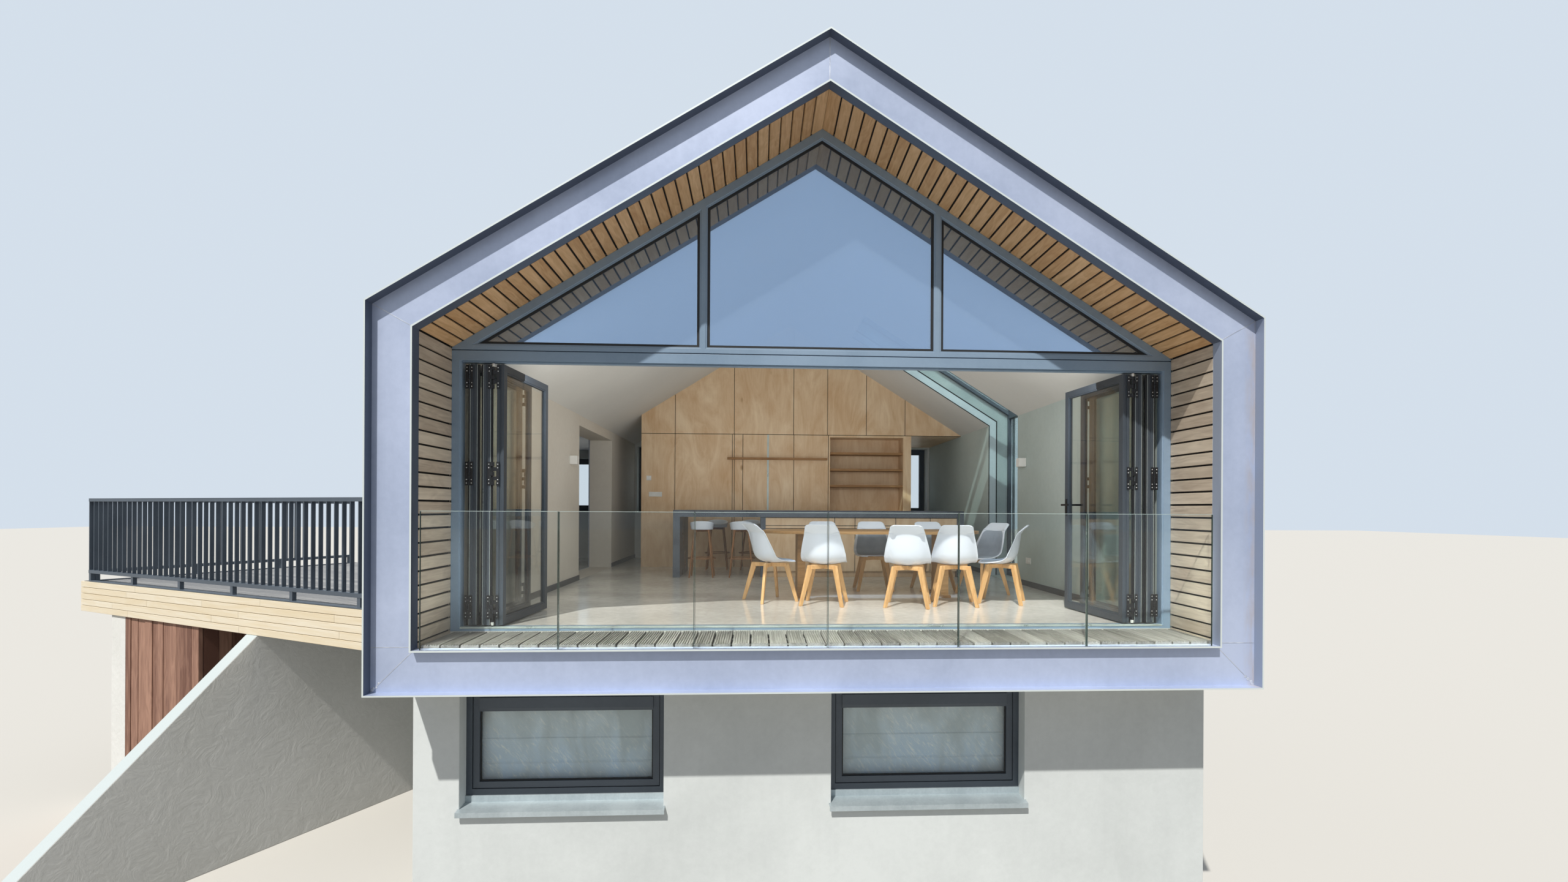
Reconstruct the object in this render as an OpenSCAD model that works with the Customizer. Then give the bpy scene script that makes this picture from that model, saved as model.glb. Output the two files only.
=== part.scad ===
// Beach house: a zinc-framed gabled tube on a plastered base, with a raised side terrace.
// X runs across the gable, Y runs into the house, Z is up from the ground.
// Lengths are in millimetres and angles in degrees.

/* [Tube] */
// Overall width of the zinc-framed tube
tube_w = 6900; // [6300:50:7500]
// Height of the eave corner above the underside of the tube
eave_h = 2935; // [2850:5:3200]
// Height of the ridge above the underside of the tube
ridge_h = 5085; // [4800:5:5500]
// Length of the tube from the front rim to the back rim
tube_l = 9300; // [8900:50:10500]
// Height from the ground to the underside of the tube
base_h = 2360; // [2150:10:2700]
// Thickness of side walls and roof, cladding included
wall_t = 415; // [390:5:460]
// Height of the indoor floor above the underside of the tube
floor_h = 398; // [380:1:440]
// Thickness of the zinc skin with its backing
zinc_t = 20; // [12:1:35]
// Height of the standing seams on the zinc
seam_h = 25; // [15:1:40]
// Width of a standing seam
seam_w = 12; // [6:1:20]
// Distance between standing seams
seam_pitch = 530; // [430:10:600]
// Width of the ridge cap on each side of the ridge
ridge_cap_w = 95; // [70:5:140]

/* [Front frame] */
// Width of the zinc band round the gable
band_w = 335; // [280:5:345]
// Thickness of the raised outer edge
outer_lip_t = 12; // [6:1:25]
// Distance that the outer edge stands in front of the band
outer_lip_d = 92; // [40:1:140]
// Thickness of the inner edge
inner_lip_t = 13; // [6:1:25]
// Distance that the inner edge stands in front of the band
inner_lip_d = 62; // [30:1:85]
// Thickness of the band plate with its backing
band_t = 30; // [20:1:45]
// Depth of the return behind the inner edge
band_return = 42; // [36:1:60]
// Thickness of the timber lining in the loggia
lining_t = 18; // [12:1:30]
// Step from the band's inner edge to the face of the lining
lining_step = 2; // [0:1:10]
// Distance from the front rim to the glazing
glazing_y = 680; // [640:5:720]

/* [Base storey] */
// Distance that the base walls stand in from the tube's sides
base_inset_d = 65; // [50:5:150]
// Distance from the front rim to the base wall
base_front = 620; // [560:5:700]
// Thickness of the base walls
base_wall_t = 320; // [280:5:400]
// Thickness of the ground floor slab
base_floor_t = 150; // [100:5:200]
// Width of a base window
win_w = 1685; // [1300:5:1690]
// Height of a base window
win_h = 940; // [700:5:980]
// Height of the window frame's foot under the tube
win_drop = 1046; // [1030:2:1100]
// Place of the left base window's centre
win_left_x = -2168; // [-2180:1:-2000]
// Place of the right base window's centre
win_right_x = 938; // [700:1:1100]
// Depth of the plaster reveal in front of a window
reveal_d = 135; // [80:5:150]
// Depth of a window frame
frame_d = 80; // [60:1:100]
// Width of a window frame's outer bars
frame_w = 56; // [45:1:80]
// Width of a window sash's bars
sash_w = 54; // [40:1:70]
// Width of the groove between a frame and its sash
groove_w = 5; // [3:1:8]
// Height of the vent box at the head of a base window's glass
vent_h = 120; // [80:5:150]
// Depth of the vent box
vent_d = 34; // [20:1:45]
// Thickness of window glass
glass_t = 28; // [20:1:36]
// Distance that a sill stands in front of the wall
sill_out = 55; // [30:1:80]
// Drop of a sill from its back to its front edge
sill_fall = 68; // [60:1:90]

/* [Gable glazing] */
// Depth of the glazing frame
gable_d = 80; // [60:1:100]
// Height of the foot of the glazing frame above the underside of the tube
gable_foot = 364; // [350:1:375]
// Height of the underside of the transom
door_head = 2629; // [2500:1:2650]
// Height of the door frame's head
head_h = 96; // [70:1:104]
// Height of the gable window's bottom bar
gable_bar_h = 60; // [45:1:80]
// Height of the shadow gap between the door frame and the gable window
shadow_gap_h = 8; // [4:1:12]
// Width and depth of the step round the openings in the glazing frame
bead_w = 12; // [8:1:16]
// Distance of each gable mullion from the middle
mullion_x = 1015; // [800:5:1200]
// Width of a gable mullion
mullion_w = 66; // [50:1:90]
// Height of the threshold above the foot of the glazing frame
threshold_h = 34; // [20:1:38]

/* [Folding doors] */
// Width of one folding leaf
leaf_w = 980; // [900:5:1000]
// Thickness of a folding leaf
leaf_t = 62; // [50:1:66]
// Width of a leaf's frame bars
leaf_bar = 72; // [55:1:90]
// Gap above and below a leaf
leaf_gap = 12; // [8:1:20]
// Distance from the front of the door frame to the folded leaves
leaf_set_d = 22; // [18:1:30]
// Distance between the middles of two neighbouring folded leaves
stack_pitch = 110; // [100:1:125]
// Distance from the jamb to the middle of the first stacked leaf
stack_start = 95; // [80:1:110]
// Height of a leaf hinge
hinge_h = 200; // [120:5:230]
// Radius of a hinge barrel
hinge_r = 9; // [6:1:12]
// Angle of the loose leaf from the line of the doors
loose_turn = 86; // [80:1:90]
// Height of a door handle above the floor
handle_h = 1050; // [950:5:1150]

/* [Balcony] */
// Thickness of the balustrade glass
balustrade_t = 20; // [16:1:25]
// Distance from the front rim to the balustrade glass
balustrade_y = 50; // [45:1:60]
// Height of the balustrade above the underside of the tube
balustrade_top = 1375; // [1350:5:1500]
// Width of the balustrade
balustrade_w = 6132; // [5900:2:6180]
// Number of balustrade panes
pane_n = 6; // [4:1:8]
// Gap between balustrade panes
pane_gap = 12; // [6:1:20]
// Drop of the balcony's base under the band's inner edge
balcony_drop = 30; // [20:1:40]
// Thickness of the balcony's deck boards and bearers
deck_t = 55; // [40:1:60]

/* [Roof window] */
// Distance from the front rim to the near side of the glazed strip
strip_y0 = 4000; // [3800:10:4200]
// Distance from the front rim to the far side of the glazed strip
strip_y1 = 5170; // [5000:10:5400]
// Distance of the strip's upper end from the ridge, across the house
strip_top_x = 900; // [700:10:1200]
// Width of the strip's frame bars
strip_bar_w = 58; // [45:1:70]
// Depth of the strip's frame
strip_frame_d = 120; // [90:5:150]

/* [Side bay] */
// Distance from the front rim to the bay's front wall
bay_y0 = 4150; // [4100:10:4400]
// Distance from the back rim to the bay's back wall
bay_back_d = 400; // [350:10:600]
// Distance from the front rim to the far side of the opening into the bay
bay_open_y1 = 6560; // [6200:10:6560]
// Distance that the bay stands out from the tube
bay_out = 1850; // [1600:10:1900]
// Thickness of the bay's walls
bay_wall_t = 300; // [250:5:350]
// Height of the bay's ceiling above the underside of the tube
bay_ceiling = 2560; // [2450:5:2600]
// Thickness of the bay's roof
bay_roof_t = 260; // [200:5:280]

/* [Terrace] */
// Distance of the terrace's corner inside the tube's side
terrace_in_d = 50; // [40:5:80]
// Turn of the terrace from the line across the house
terrace_turn = 27.5; // [24:0.5:30]
// Distance from the front rim to the terrace's corner at the house
terrace_y = 1150; // [1050:5:1300]
// Length of the terrace's front edge
terrace_l = 6940; // [6600:10:7300]
// Depth of the terrace
terrace_d = 3600; // [3300:10:4000]
// Height of the timber fascia
fascia_h = 400; // [350:5:420]
// Thickness of the timber fascia
fascia_t = 40; // [25:1:60]
// Thickness of the terrace boards
board_t = 40; // [28:1:50]
// Height of the railing above the terrace
rail_h = 1100; // [1000:5:1200]
// Distance from the fascia's end to the railing's end
rail_end_d = 180; // [120:5:250]
// Gap under the railing's bottom rail
rail_gap = 110; // [80:5:140]
// Width of a rail, a flat baluster and a bracket
rail_w = 50; // [40:1:60]
// Thickness of a flat baluster
baluster_t = 12; // [8:1:16]
// Height of the top and bottom rails
rail_t = 42; // [30:1:50]
// Number of balusters along the front
baluster_n = 54; // [40:1:60]
// Thickness of the wing wall
wing_t = 200; // [150:5:250]
// Place of the wing wall along the terrace's front edge
wing_x = 2893; // [2700:1:3100]
// Slope of the wing wall's top
wing_slope = 45; // [38:1:50]
// Start of the plank wall along the terrace's front edge
plank_start_x = 4140; // [4000:10:4300]
// End of the plank wall along the terrace's front edge
plank_end_x = 5830; // [5600:10:5900]
// Width of the end pier
pier_w = 350; // [250:10:400]

/* [Indoor fittings] */
// Distance from the front rim to the plywood wall
ply_y = 6600; // [6500:10:6900]
// Thickness of the plywood wall with its cupboards
ply_d = 600; // [450:10:650]
// Left end of the plywood wall
ply_x0 = -2540; // [-2600:10:-2300]
// Right end of the plywood wall's lower part
ply_x1 = 2150; // [2050:10:2300]
// Height above the underside of the tube where the upper plywood starts
ply_joint_h = 2695; // [2600:5:2720]
// Length of the kitchen island
island_l = 4300; // [3800:10:4400]
// Depth of the kitchen island
island_d = 1180; // [900:10:1240]
// Height of the kitchen island
island_h = 985; // [900:5:1000]
// Thickness of the kitchen island's slab and uprights
island_t = 100; // [60:5:110]
// Distance from the front rim to the kitchen island
island_y = 4780; // [4700:10:4900]
// Place of the kitchen island's middle
island_x = 380; // [250:10:450]
// Length of the dining table
table_l = 2540; // [2200:10:2600]
// Width of the dining table
table_w = 1050; // [900:10:1100]
// Height of the dining table
table_h = 760; // [720:5:780]
// Place of the dining table's middle across the house
table_x = 790; // [700:10:850]
// Distance from the front rim to the dining table's middle
table_y = 2780; // [2700:10:2850]
// Width of a chair's shell
chair_w = 480; // [420:5:500]
// Depth of a chair's shell
chair_d = 475; // [430:5:500]
// Height of a chair's seat
seat_h = 450; // [430:5:470]
// Height of a chair's back
chair_h = 850; // [800:5:870]
// Height of a bar stool's shell above the floor
stool_h = 700; // [660:5:740]

/* [Hidden] */
$fn = 48;
eps = 1;
half_w = tube_w / 2;
base_half = half_w - base_inset_d;
pitch = atan((ridge_h - eave_h) / half_w);
// Outer face of the walls and roof behind the zinc, from the rim's outline
cladding_in = seam_h + zinc_t;
// Inner faces of the loggia
lining_in = band_w + lining_step;
band_y = outer_lip_d;
frame_back_y = band_y + band_t;
lining_y = frame_back_y + band_return - band_t;
back_frame_y = tube_l - frame_back_y;
glazing_back = glazing_y + gable_d;
indoor_half = half_w - wall_t;
opening_half = half_w - lining_in;
terrace_x = terrace_in_d - half_w;
fit = 0.3;

// Corners of the gabled outline set in by t: foot left, foot right, eave right, ridge, eave left
function gable(t, foot) = [
    [-(half_w - t), foot],
    [half_w - t, foot],
    [half_w - t, ridge_h - t / cos(pitch) - (half_w - t) * tan(pitch)],
    [0, ridge_h - t / cos(pitch)],
    [-(half_w - t), ridge_h - t / cos(pitch) - (half_w - t) * tan(pitch)]
];
// One side of the band between two insets, cut at its mitres
function side_of(i, t0, t1, foot0, foot1) =
    let (a = gable(t0, foot0), b = gable(t1, foot1), j = (i + 1) % 5) [a[i], b[i], b[j], a[j]];

// Places a shape drawn from the front rim and the tube's underside in the part's own frame
module from_rim() {
    translate([0, -tube_l / 2, base_h]) children();
}
// Extrudes an X-Z outline from y0 to y1
module along(y0, y1) {
    translate([0, y1, 0]) rotate([90, 0, 0]) linear_extrude(y1 - y0) children();
}
module slab(x0, x1, y0, y1, z0, z1) {
    translate([x0, y0, z0]) cube([x1 - x0, y1 - y0, z1 - z0]);
}
// Terrace frame: x runs out along the front edge, y runs back
module on_terrace() {
    translate([terrace_x, terrace_y, 0]) rotate([0, 0, -terrace_turn]) mirror([1, 0, 0]) children();
}

// Outline of a plain rectangle in X and Z
module panel(x0, x1, z0, z1) {
    translate([x0, z0]) square([x1 - x0, z1 - z0]);
}
// Rectangular ring round an opening, with bars of one width
module ring(x, y0, y1, w, h, foot, bar) {
    difference() {
        slab(x - w / 2, x + w / 2, y0, y1, foot, foot + h);
        slab(x - w / 2 + bar, x + w / 2 - bar, y0 - eps, y1 + eps, foot + bar, foot + h - bar);
    }
}

// Base storey
win_foot = -win_drop;
front_frame_y = base_front + reveal_d;
back_face = tube_l - base_front;
sill_back_drop = 54;
sill_t = 14;
sill_lip = 42;
sill_over = 14;
blind_gap = 25;
blind_t = 30;
upper_win_w = 980;
upper_win_side = 40;
upper_win_x = indoor_half - upper_win_side - upper_win_w / 2;
upper_win_z0 = 1330;
upper_win_h = 1340;
upper_reveal = 60;
back_wall_in = tube_l - frame_back_y - wall_t;
bay_x0 = -(half_w + bay_out);
bay_x1 = -(half_w - seam_h);
bay_y1 = tube_l - bay_back_d;
bay_win_x = -4185;
bay_win_w = 1330;
bay_win_z0 = 1350;
bay_win_h = 1050;
sash_set = 6;

module window_hole(x, y0, y1, w, h, foot) {
    slab(x - w / 2, x + w / 2, y0 - eps, y1 + eps, foot, foot + h);
}
// Outer frame and sash with a groove between them; the outer face is at y
module window_frame(x, y, w, h, foot) {
    difference() {
        union() {
            ring(x, y, y + frame_d, w, h, foot, frame_w);
            ring(x, y + sash_set, y + frame_d - sash_set, w - 2 * frame_w, h - 2 * frame_w,
                 foot + frame_w, sash_w);
        }
        ring(x, y - eps, y + frame_d / 3, w - 2 * (frame_w - groove_w), h - 2 * (frame_w - groove_w),
             foot + frame_w - groove_w, groove_w);
    }
}
module window_pane(x, y, w, h, foot) {
    edge = frame_w + sash_w;
    slab(x - w / 2 + edge, x + w / 2 - edge, y + (frame_d - glass_t) / 2, y + (frame_d + glass_t) / 2,
         foot + edge, foot + h - edge);
}
// Vent box across the head of a base window's glass, with a chamfered lower edge
module vent_box() {
    edge = frame_w + sash_w;
    back = front_frame_y + (frame_d - glass_t) / 2;
    top = win_foot + win_h - edge;
    translate([edge - win_w / 2, 0, 0]) rotate([90, 0, 90]) linear_extrude(win_w - 2 * edge) polygon([
        [back, top], [back - vent_d, top], [back - vent_d, top - vent_h * 0.75],
        [back - vent_d * 0.6, top - vent_h], [back, top - vent_h]
    ]);
}
// Places of the two upper windows at the back and the bay's window, from outside
module at_upper_windows() {
    for (s = [-1, 1]) translate([s * upper_win_x, back_frame_y - upper_reveal, 0]) rotate([0, 0, 180])
        children();
}
module at_bay_window() {
    translate([bay_win_x, bay_y1 - upper_reveal, 0]) rotate([0, 0, 180]) children();
}
// Sloped sill with an upstand and a front lip; its back is at the window frame's face
module sill(x, w) {
    yb = front_frame_y;
    yf = base_front - sill_out;
    translate([x - w / 2, 0, win_foot]) rotate([90, 0, 90]) linear_extrude(w) polygon([
        [yb, 0], [yb - sill_t, 0], [yb - sill_t, -sill_back_drop], [yf, -sill_fall],
        [yf, -sill_fall - sill_lip], [yf + sill_t, -sill_fall - sill_lip],
        [yf + sill_t, -sill_fall - sill_t], [yb, -sill_back_drop - sill_t]
    ]);
}
module sill_pocket() {
    fall = (sill_fall - sill_back_drop) * reveal_d / (reveal_d + sill_out - sill_t) + sill_t;
    sill(0, win_w + 2 * sill_over);
    translate([-win_w / 2, 0, win_foot]) rotate([90, 0, 90]) linear_extrude(win_w) polygon([
        [front_frame_y, 0], [base_front - eps, 0], [base_front - eps, -sill_back_drop - fall],
        [base_front, -sill_back_drop - fall], [front_frame_y, -sill_back_drop - sill_t]
    ]);
}
// Repeats a front piece at both base windows, and again at the back by symmetry
module at_front_windows() {
    for (x = [win_left_x, win_right_x]) translate([x, 0, 0]) children();
}
module turned_to_back() {
    translate([0, tube_l, 0]) rotate([0, 0, 180]) children();
}
module front_and_back() {
    children();
    turned_to_back() children();
}
module base_end_wall() {
    difference() {
        slab(-base_half, base_half, base_front, base_front + base_wall_t, -base_h, 0);
        at_front_windows() {
            window_hole(0, base_front, base_front + base_wall_t, win_w, win_h, win_foot);
            sill_pocket();
        }
    }
}
module base_front_wall() color("#d7dedb") from_rim() base_end_wall();
module base_back_wall() color("#d7dedb") from_rim() turned_to_back() base_end_wall();
module base_side_walls() color("#cfd6d3") from_rim() {
    for (m = [0, 1]) mirror([m, 0, 0])
        slab(base_half - base_wall_t, base_half, base_front + base_wall_t,
             back_face - base_wall_t, -base_h, 0);
}
module base_floor() color("#b9b6ae") from_rim() {
    slab(base_wall_t - base_half, base_half - base_wall_t, base_front + base_wall_t,
         back_face - base_wall_t, -base_h, base_floor_t - base_h);
}
module window_frames() color("#3c4148") from_rim() {
    front_and_back() at_front_windows() {
        window_frame(0, front_frame_y, win_w, win_h, win_foot);
        vent_box();
    }
    at_upper_windows() window_frame(0, 0, upper_win_w, upper_win_h, upper_win_z0);
    at_bay_window() window_frame(0, 0, bay_win_w, bay_win_h, bay_win_z0);
}
module window_glass() color("#9fb3c0", 0.5) from_rim() {
    front_and_back() at_front_windows() window_pane(0, front_frame_y, win_w, win_h, win_foot);
    at_upper_windows() window_pane(0, 0, upper_win_w, upper_win_h, upper_win_z0);
    at_bay_window() window_pane(0, 0, bay_win_w, bay_win_h, bay_win_z0);
}
module window_sills() color("#8b929c") from_rim() front_and_back() at_front_windows()
    sill(0, win_w + 2 * sill_over);
// Folded blinds hang behind the base windows
module base_blinds() color("#aeb4b8") from_rim() front_and_back() at_front_windows() {
    y = front_frame_y + frame_d + blind_gap;
    slab(-win_w / 2 + blind_t, win_w / 2 - blind_t, y, y + blind_t, win_foot + blind_t, win_foot + win_h);
}

// Tube
recess_t = lining_in - lining_t;
balcony_base = band_w - balcony_drop;
floor_half = half_w - cladding_in;
module tube_floor() color("#c9c2b4") from_rim() {
    slab(-floor_half, floor_half, frame_back_y, glazing_y, 0, balcony_base);
    slab(-floor_half, floor_half, glazing_y, back_frame_y, 0, gable_foot);
    slab(-indoor_half, indoor_half, glazing_back, back_wall_in, gable_foot, floor_h);
}
// Wall or roof side i from y0 to y1 between two insets, standing on foot
module shell_side(i, y0, y1, t0, t1, foot) {
    along(y0, y1) polygon(side_of(i, t0, t1, foot, foot));
}
module wall_run(i, y0, y1) shell_side(i, y0, y1, cladding_in, wall_t, gable_foot);
module bay_way() {
    slab(-half_w - eps, eps - indoor_half, bay_y0 + bay_wall_t, bay_open_y1, floor_h, bay_ceiling);
}
module side_walls() color("#e4e2dc") from_rim() {
    difference() {
        union() {
            for (i = [1, 4]) {
                shell_side(i, frame_back_y, lining_y, cladding_in, band_w - inner_lip_t, balcony_base);
                shell_side(i, lining_y, glazing_y, cladding_in, recess_t, balcony_base);
                shell_side(i, glazing_y, glazing_back, cladding_in, recess_t, gable_foot);
                wall_run(i, glazing_back, back_frame_y);
            }
        }
        slab(indoor_half - eps, half_w, strip_y0, strip_y1, floor_h, eave_h);
        bay_way();
    }
}
module roof_side(i) {
    shell_side(i, frame_back_y, lining_y, cladding_in, band_w - inner_lip_t, gable_foot);
    shell_side(i, lining_y, glazing_back, cladding_in, recess_t, gable_foot);
    wall_run(i, glazing_back, back_frame_y);
}
module strip_cut() {
    slab(strip_top_x, half_w + eps, strip_y0, strip_y1, eave_h - wall_t, ridge_h);
}
module roof_left() color("#dcdad4") from_rim() roof_side(3);
module roof_right() color("#dcdad4") from_rim() difference() {
    roof_side(2);
    strip_cut();
}
module back_gable_wall() color("#d7dedb") from_rim() difference() {
    along(back_wall_in, back_frame_y) polygon(gable(wall_t, gable_foot));
    for (s = [-1, 1])
        window_hole(s * upper_win_x, back_wall_in, back_frame_y, upper_win_w, upper_win_h, upper_win_z0);
}
// Zinc skin on side i with its standing seams
seam_clear = 3;
seam_n = floor((back_frame_y - frame_back_y) / seam_pitch);
seam_step = (back_frame_y - frame_back_y - seam_w) / (seam_n + 1);
module zinc_side(i) {
    shell_side(i, frame_back_y, back_frame_y, seam_h, cladding_in, 0);
    for (k = [1 : seam_n]) {
        y = frame_back_y + k * seam_step;
        shell_side(i, y, y + seam_w, seam_clear, seam_h + eps, 0);
    }
}
module zinc_walls() color("#9aa0ad") from_rim() difference() {
    for (i = [1, 4]) zinc_side(i);
    slab(half_w - cladding_in - eps, half_w + eps, strip_y0, strip_y1, floor_h, eave_h + eps);
    slab(-half_w - eps, bay_x1, bay_y0, bay_y1, -eps, bay_top);
    bay_way();
}
module ridge_cap() {
    along(frame_back_y, back_frame_y) intersection() {
        difference() {
            polygon(gable(seam_clear, 0));
            polygon(gable(seam_h + eps, -eps));
        }
        panel(-ridge_cap_w, ridge_cap_w, eave_h, ridge_h);
    }
}
module zinc_roof() color("#9aa0ad") from_rim() difference() {
    union() {
        for (i = [2, 3]) zinc_side(i);
        ridge_cap();
    }
    strip_cut();
}

// Front frame: a band with a raised outer edge and an inner edge, in five mitred lengths
module band_piece(i) {
    along(0, frame_back_y) polygon(side_of(i, 0, outer_lip_t, 0, outer_lip_t));
    along(band_y, frame_back_y) polygon(side_of(i, outer_lip_t, band_w, outer_lip_t, band_w));
    along(band_y - inner_lip_d, lining_y) polygon(side_of(i, band_w - inner_lip_t, band_w,
        band_w - inner_lip_t, band_w));
}
module frame_piece(i) color("#bcc4d8") from_rim() band_piece(i);
module frame_sill() frame_piece(0);
module frame_right_post() frame_piece(1);
module frame_right_rake() frame_piece(2);
module frame_left_rake() frame_piece(3);
module frame_left_post() frame_piece(4);
module back_frame() color("#aab2c4") from_rim() turned_to_back() {
    for (i = [0 : 4]) {
        along(0, frame_back_y) polygon(side_of(i, 0, outer_lip_t, 0, outer_lip_t));
        along(band_y, frame_back_y) polygon(side_of(i, outer_lip_t, wall_t, outer_lip_t, wall_t));
    }
}
module timber_lining() color("#b98f63") from_rim() {
    for (i = [1 : 4]) shell_side(i, lining_y, glazing_y, recess_t, lining_in, balcony_base);
}

// Balcony
module balcony_deck() color("#a5a294") from_rim() {
    slab(-opening_half, opening_half, lining_y, glazing_y, balcony_base, balcony_base + deck_t);
}
module balcony_glass() color("#c8dde0", 0.35) from_rim() {
    pitch_x = balustrade_w / pane_n;
    for (k = [0 : pane_n - 1]) {
        x = k * pitch_x - balustrade_w / 2;
        slab(x + pane_gap / 2, x + pitch_x - pane_gap / 2, balustrade_y, balustrade_y + balustrade_t,
             band_w, balustrade_top);
    }
}

// Gable glazing: a door frame with a fixed window standing on it
door_top = door_head + head_h;
pane_z = door_top + gable_bar_h;
door_z = gable_foot + threshold_h;
bead_d = 6;
leaf_y = glazing_y + leaf_set_d;
hinge_t = 6;
track_w = 20;
track_h = 30;
track_y = leaf_y - hinge_t;
module pane_outline(k, grow) {
    edge = mullion_w / 2 - grow;
    x0 = k < 0 ? -indoor_half - grow : k > 0 ? mullion_x + edge : edge - mullion_x;
    x1 = k < 0 ? -mullion_x - edge : k > 0 ? indoor_half + grow : mullion_x - edge;
    intersection() {
        polygon(gable(wall_t - grow, gable_foot));
        panel(x0, x1, pane_z - grow, ridge_h);
    }
}
module glazing_outline(z0, z1) {
    along(glazing_y, glazing_back) intersection() {
        polygon(gable(lining_in, gable_foot));
        panel(-half_w, half_w, z0, z1);
    }
}
module gable_frame() color("#4a5058") from_rim() difference() {
    glazing_outline(door_top, ridge_h);
    along(glazing_y - eps, glazing_y + gable_d / 3)
        panel(-half_w, half_w, door_top - eps, door_top + shadow_gap_h);
    for (k = [-1, 0, 1]) {
        along(glazing_y - eps, glazing_back + eps) pane_outline(k, 0);
        along(glazing_y - eps, glazing_y + bead_d) pane_outline(k, bead_w);
    }
}
module door_frame() color("#454b53") from_rim() difference() {
    glazing_outline(gable_foot, door_top);
    along(glazing_y - eps, glazing_back + eps) panel(-indoor_half, indoor_half, door_z, door_head);
    along(glazing_y - eps, glazing_y + bead_d)
        panel(-indoor_half - bead_w, indoor_half + bead_w, door_z, door_head + bead_w);
    slab(-indoor_half, indoor_half, track_y - track_w / 2, track_y + track_w / 2,
         door_head - eps, door_head + track_h);
}
module gable_glass() color("#aebfd6", 0.45) from_rim() {
    for (k = [-1, 0, 1])
        along(glazing_y + (gable_d - glass_t) / 2, glazing_y + (gable_d + glass_t) / 2) pane_outline(k, 0);
}

// Folding doors, stacked open: two leaves lie against each jamb and a third stands loose
leaf_h = door_head - door_z - 2 * leaf_gap;
leaf_1_x = indoor_half - stack_start;
leaf_2_x = leaf_1_x - stack_pitch;
loose_x = leaf_2_x - stack_pitch;
seal_d = 7;
seal_w = 14;
module leaf() {
    difference() {
        slab(0, leaf_w, -leaf_t / 2, leaf_t / 2, 0, leaf_h);
        slab(leaf_bar, leaf_w - leaf_bar, -leaf_t, leaf_t, leaf_bar, leaf_h - leaf_bar);
        for (x = [0, leaf_w]) slab(x - seal_d, x + seal_d, -seal_w / 2, seal_w / 2, -eps, leaf_h + eps);
        for (m = [0, 1]) mirror([0, m, 0]) slab(leaf_bar - bead_w, leaf_w - leaf_bar + bead_w,
            leaf_t / 2 - bead_d, leaf_t / 2 + eps, leaf_bar - bead_w, leaf_h - leaf_bar + bead_w);
    }
}
module leaf_glass() {
    slab(leaf_bar, leaf_w - leaf_bar, -glass_t / 2, glass_t / 2, leaf_bar, leaf_h - leaf_bar);
}
module at_loose_leaf() {
    translate([loose_x, leaf_y + leaf_t / 2 * cos(loose_turn), door_z + leaf_gap])
        rotate([0, 0, 180 - loose_turn]) children();
}
// The three places of a leaf on the right-hand side
module at_leaves() {
    for (x = [leaf_1_x, leaf_2_x]) translate([x, leaf_y, door_z + leaf_gap]) rotate([0, 0, 90]) children();
    at_loose_leaf() children();
}
module door_leaves_right() color("#3a3f46") from_rim() at_leaves() leaf();
module door_leaves_left() color("#3a3f46") from_rim() mirror([1, 0, 0]) at_leaves() leaf();
module door_glass() color("#a9bcc2", 0.4) from_rim() {
    for (m = [0, 1]) mirror([m, 0, 0]) at_leaves() leaf_glass();
}
// Hinge: plates against two neighbouring edges, with a barrel in the gap between them
module hinge(x0, x1) {
    slab(x0, x1, -hinge_t, 0, 0, hinge_h);
    translate([(x0 + x1) / 2, -hinge_t, 0]) cylinder(h = hinge_h, r = hinge_r, $fn = 24);
}
// Heights of the hinges as shares of the leaf's height
hinge_places = [0.07, 0.58, 0.95];
pin_r = 6;
guide_r = 15;
guide_h = 12;
module leaf_hinges() {
    plate = leaf_t / 2 - 4;
    for (k = hinge_places) translate([0, 0, door_z + leaf_gap + k * leaf_h - hinge_h / 2]) {
        translate([0, leaf_y, 0]) {
            hinge(leaf_1_x - plate, indoor_half);
            hinge(loose_x - plate, leaf_2_x + plate);
        }
        translate([0, leaf_y + leaf_w, 0]) mirror([0, 1, 0]) hinge(leaf_2_x - plate, leaf_1_x + plate);
    }
    low = door_z + leaf_gap + hinge_places[0] * leaf_h;
    high = door_z + leaf_gap + hinge_places[2] * leaf_h;
    pin_x = (loose_x + leaf_2_x) / 2;
    translate([pin_x, track_y, high]) cylinder(h = door_head + track_h - high, r = pin_r, $fn = 24);
    translate([pin_x, track_y, door_z]) cylinder(h = low - door_z, r = pin_r, $fn = 24);
    translate([pin_x, track_y, door_z]) cylinder(h = guide_h, r = guide_r, $fn = 24);
}
rose_w = 28;
rose_t = 8;
rose_up = 60;
rose_down = 110;
lever_out = 45;
lever_t = 16;
lever_l = 120;
lever_h = 22;
module levers() {
    x = leaf_w - leaf_bar / 2;
    for (m = [0, 1]) mirror([0, m, 0]) {
        slab(x - rose_w / 2, x + rose_w / 2, leaf_t / 2, leaf_t / 2 + rose_t,
             handle_h - rose_down, handle_h + rose_up);
        translate([x, leaf_t / 2 + rose_t, handle_h]) rotate([-90, 0, 0]) cylinder(h = lever_out, r = 9);
        slab(x - lever_l, x + 12, leaf_t / 2 + lever_out, leaf_t / 2 + lever_out + lever_t,
             handle_h - lever_h / 2, handle_h + lever_h / 2);
    }
}
module door_hardware() color("#2b2e33") from_rim() {
    for (m = [0, 1]) mirror([m, 0, 0]) {
        leaf_hinges();
        at_loose_leaf() levers();
    }
}

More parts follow.
